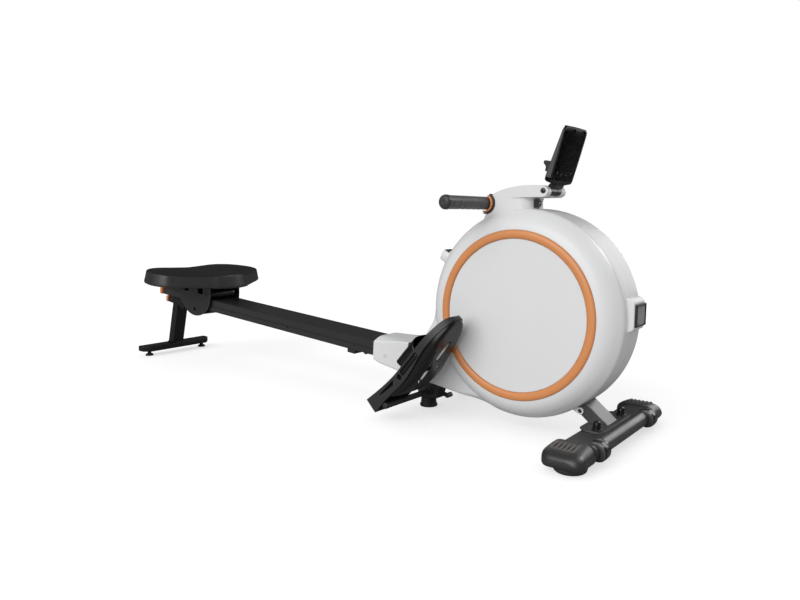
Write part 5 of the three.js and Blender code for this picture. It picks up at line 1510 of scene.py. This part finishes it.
# The fold lock pin, with a knurled pull knob on the left side.
lockPin = {"x": -332, "z": 145, "flutes": 16, "fluteAt": 12.6}


def makeLockPin():
    profile = [(0, 24), (3.4, 24), (4, 24.8), (4, 75), (8, 75), (11, 75.6), (12, 77), (12, 88), (11.2, 90.4),
               (9.4, 91.6), (7.4, 92), (0, 91.6)]
    piece = turned("foldLockPin", profile, at=(lockPin["x"], 0, lockPin["z"]))
    for k in range(lockPin["flutes"]):
        a = 2 * math.pi * k / lockPin["flutes"]
        x, z = lockPin["x"] + lockPin["fluteAt"] * math.cos(a), lockPin["z"] + lockPin["fluteAt"] * math.sin(a)
        cutRod(piece, 1.3, 77.5, 95, at=(x, 0, z), steps=10)
    return smooth(piece, 40)


put(makeLockPin(), drumFrame, "fold_lock_pin", "orange_plastic", orangeTrim, "fold_lock_pin")
print("underside pieces made")


# The sloping front leg with its foot plate.
leg = {"wide": 29, "deep": 16, "from": -72, "to": 40, "plateRear": 172, "plateFront": 231.5, "plateHalf": 97,
       "plateLow": 51.8, "plateHigh": 54.6, "boltX": 212, "boltY": 74}


def makeLeg():
    u, v = leg["wide"], leg["deep"]
    tube = prism("frontLeg", [(-u, -v, 2.6), (u, -v, 2.6), (u, v, 2.6), (-u, v, 2.6)], "X", leg["from"], leg["to"],
                 arcs=6)
    place(tube, legInDrum)
    cutBlock(tube, (60, 340), (-60, 60), (-40, leg["plateLow"] + 1))
    rear, front, half = leg["plateRear"], leg["plateFront"], leg["plateHalf"]
    plan = [(rear, -half + 16, 9), (rear + 16, -half, 9), (front - 4, -half, 8), (front, -half + 14, 6),
            (front, half - 14, 6), (front - 4, half, 8), (rear + 16, half, 9), (rear, half - 16, 9)]
    sole = prism("plate", plan, "Z", leg["plateLow"], leg["plateHigh"], soft=1.2)
    combine(tube, sole, "UNION")
    return smooth(tube, 35)


put(makeLeg(), drumFrame, "body", "black_paint", legCoat, "front_leg")


def makeDomeBolt(name, x, y):
    profile = [(0, 50), (5, 50), (5, 54.4), (12, 54.4), (12, 56.6), (11.4, 57.2), (9.6, 57.4), (9.2, 58.0), (9.2, 66),
               (8.6, 69.5), (7.0, 72.6), (4.4, 74.6), (2, 75.2), (0, 75.3)]
    return smooth(turned(name, profile, "Z", at=(x, y, 0), steps=48), 40)


for sign, side in sides:
    bolt = makeDomeBolt("domeBolt" + side, leg["boltX"], sign * leg["boltY"])
    put(bolt, drumFrame, "body", "black_plastic", hingeGloss)


# The front stabiliser: beam, two end caps with ribbed pads, and wheels held in forks.
stabiliser = {"half": 185, "wheelX": 250, "wheelZ": 34, "wheelY": 153, "tube": (241.4, 0, 35.6), "tubeRadius": 18.4}


def makeBeam():
    wheelX, wheelZ, half = stabiliser["wheelX"], stabiliser["wheelZ"], stabiliser["half"]
    tube = rod("stabiliserBeam", stabiliser["tubeRadius"], -half, half, at=stabiliser["tube"], steps=72)
    flat = prism("flat", [(171, 22, 6), (206, 18, 6), (240, 18), (240, 52.2), (238.5, 52.2), (237, 53.4, 1),
                          (234.5, 53.4, 1), (233, 52.4), (184, 52.4, 9), (171, 43, 9)], "Y", 0.4 - half, half - 0.4)
    combine(tube, flat, "UNION")
    for sign, _ in sides:
        y = sign * stabiliser["wheelY"]
        cutRod(tube, 25.4, y - 11, y + 11, at=(wheelX, 0, wheelZ), steps=64)
        for near, far in ((y - 17.5, y - 11), (y + 11, y + 17.5)):
            cheek = turned("cheek", [(0, near), (21.0, near), (23.2, near + 1.0), (24.0, near + 2.6),
                                     (24.0, far - 1.6), (23.2, far - 0.5), (22.4, far), (0, far)],
                           at=(wheelX - 3, 0, wheelZ + 0.4), steps=56)
            cutBlock(cheek, (200, 236), (near - 2, far + 2), (-20, 80))
            cutBlock(cheek, (200, 320), (near - 2, far + 2), (-20, 17.6))
            combine(tube, cheek, "UNION")
        combine(tube, rod("pin", 4, y - 12, y + 12, at=(wheelX, 0, wheelZ), steps=28), "UNION")
    return smooth(tube, 35)


put(makeBeam(), drumFrame, "body", "black_paint", beamGloss, "stabiliser_beam")


def capTop(y):
    # the cap's top falls away outwards
    return along([(186, 56.0), (200, 55.8), (215, 55.0), (230, 53.2), (242, 50.8), (264, 46.5)], -y)


def makeEndCap(name):
    # a soft-cornered section, drawn along the beam and rounded off at the outer end
    section = rounded([(159, 10, 18), (259, 10, 26), (259, 60, 34), (160, 60, 22)], 10)
    middle = 209
    rows = [(-185.3, 0.8)] + [(y, 0) for y in (-186.2, -194, -202, -210, -218, -224, -230, -236)]
    for degrees in range(9, 91, 9):
        turn = math.radians(degrees)
        rows.append((-236 - 26 * math.sin(turn), 17 * (1 - math.cos(turn))))
    rows.append((-262.2, 20))
    points = []
    for y, cut in rows:
        high = capTop(y)
        centre = (10 + high) / 2
        ring = []
        for x, z in section:
            level = 10 + (z - 10) * (high - 10) / 50
            ring.append((middle + (x - middle) * (1 - 0.03 * cut), y,
                         centre + (level - centre) * (1 - 1.656 * cut / (high - 10))))
        points.append(ring)
    cap = skin(name, points)
    # a round foot below it
    foot = turned("foot", [(0, 0), (25, 0), (31, 1.6), (35, 5), (36.4, 10), (35.6, 18), (0, 22)], "Z",
                  at=(214, -217, 0), steps=72)
    combine(cap, foot, "UNION")
    return melted(cap, 1.1, 5)


capPad = {"wheel": (206, -140), "clear": 66, "outer": -241, "ribs": 6, "pitch": 10}


def makeCapPad(name):
    # A thin ribbed pad that follows the cap's falling top.
    (wheelX, wheelY), clear = capPad["wheel"], capPad["clear"]
    outline = [(176, capPad["outer"], 6), (236, capPad["outer"], 6), (237, -207, 3)]
    outline += arc(capPad["wheel"], clear, -62, -118, 12) + [(175, -206, 3)]
    parts = [prism("pad", outline, "Z", 0, 1.0)]
    for k in range(capPad["ribs"]):
        x = wheelX - 25 + capPad["pitch"] * k
        inner = wheelY - math.sqrt(max(clear ** 2 - (x - wheelX) ** 2, 0)) - 2.0
        parts.append(block("rib", (x - 2.7, x + 2.7), (-239.2, inner), (0.2, 3.6), soft=1.3))
    piece = joined(name, *parts)
    for vertex in piece.data.vertices:
        vertex.co.z += (capTop(vertex.co.y / mm) - 0.5) * mm
    return smooth(piece, 35)


putPair(makeEndCap("stabiliserEndRight"), drumFrame, "body", "black_plastic", capGloss, "stabiliser_end_{}")
putPair(makeCapPad("stabiliserPadRight"), drumFrame, "body", "grey_plastic", padGrey)


def makeWheel(name, y):
    half = 10
    face = [(4.3, -half), (9, -half), (9.6, -half + 0.6), (9.6, -half + 2.4), (17, -half + 2.4), (17.4, -half + 1.2),
            (18.2, -half + 0.4), (20.6, -half + 0.3), (21.6, -half + 1.4), (22, -half + 3.6)]
    return smooth(turned(name, bothEnds(face), at=(stabiliser["wheelX"], y, stabiliser["wheelZ"]), steps=72), 35)


for sign, side in sides:
    node = "transport_wheel_" + side.lower()
    put(makeWheel("transportWheel" + side, sign * stabiliser["wheelY"]), drumFrame, node, "rubber", glossyRubber,
        node)
print("leg and stabiliser made")


# CAD nodes that stay as they are get a finish.
keptFinishes = {
    "main_frame": powderCoat, "fold_pin": plainSteel, "flywheel": castIron, "flywheel_axle": plainSteel,
    "spool_axle": plainSteel, "return_spring": plainSteel, "drive_belt": mattRubber, "drive_pulley": blackMould,
    "strap_spool": blackMould, "guide_roller": plainSteel, "magnet_arm": greyMould,
    "pedal_axle": satinBlack, "rail_knuckle": powderCoat,
}
slotFinishes = {
    "white_plastic": whiteShell, "orange_plastic": orangeTrim, "black_plastic": blackMould, "grey_plastic": greyMould,
    "black_paint": powderCoat, "rail_metal": railCoat, "steel": plainSteel, "cast_iron": castIron,
    "rubber": mattRubber, "foam": gripFoam, "vinyl": seatVinyl, "webbing": nylonWebbing,
}
nodeSlots = {row["node"]: row["material_slot"] for row in frame["record"]["subparts"] if "node" in row}
for nodeName, node in frame["nodes"].items():
    material = keptFinishes.get(nodeName) or slotFinishes[nodeSlots[nodeName]]
    node.data.materials.clear()
    node.data.materials.append(material)
print("kept nodes finished")


# Studio.
studio = {
    "floor": (0.50, 0.50, 0.50), "floorInGloss": (0.25, 0.25, 0.25), "floorLift": 0.62, "seen": 1.0, "fill": 0.64,
    "mirrored": 0.08,
    "sun": {"from": (-0.04, -1.0, 0.48), "strength": 1.92, "spread": 50},
    "lights": [  # place, towards, size, power
        ((1.35, 2.3, 1.1), (0.87, 0.0, 0.1), 1.5, 18),
        ((2.1, 0.8, 1.95), (0.88, -0.2, 0.05), 0.7, 30),
    ],
}


def aimed(name, light, spot, towards):
    lamp = bpy.data.objects.new(name, light)
    lamp.location = spot
    lamp.rotation_mode = "QUATERNION"
    lamp.rotation_quaternion = (Vector(towards) - Vector(spot)).to_track_quat("-Z", "Y")
    lamp.visible_camera = False
    bpy.context.collection.objects.link(lamp)


def makeStudio():
    bpy.ops.object.select_all(action="DESELECT")
    bpy.ops.mesh.primitive_plane_add(size=60, location=(0, 0, -0.0005))
    floor = bpy.context.object
    floor.name = "floor"
    paper = bpy.data.materials.new("studioPaper")
    paper.use_nodes = True
    tree = paper.node_tree
    seen = addNode(tree, "LightPath", {}).outputs  # lifted to white for the camera only, dark in gloss
    shade = addNode(tree, "Mix", {}, data_type="RGBA")
    feed(tree, shade, {"A": (*studio["floor"], 1), "B": (*studio["floorInGloss"], 1),
                       "Factor": seen["Is Glossy Ray"]})
    lift = addNode(tree, "MapRange", {"To Max": studio["floorLift"], "Value": seen["Is Camera Ray"]})
    feed(tree, tree.nodes["Principled BSDF"], {"Roughness": 0.9, "Specular IOR Level": 0.1,
                                               "Emission Color": (1, 1, 1, 1), "Base Color": shade.outputs["Result"],
                                               "Emission Strength": lift.outputs["Result"]})
    floor.data.materials.append(paper)
    world = bpy.data.worlds.new("studioAir")
    bpy.context.scene.world = world
    world.use_nodes = True
    tree = world.node_tree
    seen = addNode(tree, "LightPath", {}).outputs
    # gloss sees a darker room than the one that lights it
    dimmed = addNode(tree, "MapRange", {"To Min": studio["fill"], "To Max": studio["mirrored"],
                                        "Value": seen["Is Glossy Ray"]})
    strength = addNode(tree, "MapRange", {"To Min": dimmed.outputs["Result"], "To Max": studio["seen"],
                                          "Value": seen["Is Camera Ray"]})
    feed(tree, tree.nodes["Background"], {"Color": (1, 1, 1, 1), "Strength": strength.outputs["Result"]})
    sun = bpy.data.lights.new("softSun", "SUN")
    sun.energy = studio["sun"]["strength"]
    sun.angle = math.radians(studio["sun"]["spread"])
    aimed("softSun", sun, studio["sun"]["from"], (0, 0, 0))
    for number, (spot, towards, size, power) in enumerate(studio["lights"], 1):
        light = bpy.data.lights.new(f"softLight{number}", "AREA")
        light.size = size
        light.energy = power
        aimed(light.name, light, spot, towards)
        bpy.data.objects[light.name].visible_diffuse = False  # these only draw highlights
    bpy.context.scene.view_settings.view_transform = "Standard"
    bpy.context.scene.view_settings.look = "None"


makeStudio()
print("studio lit")
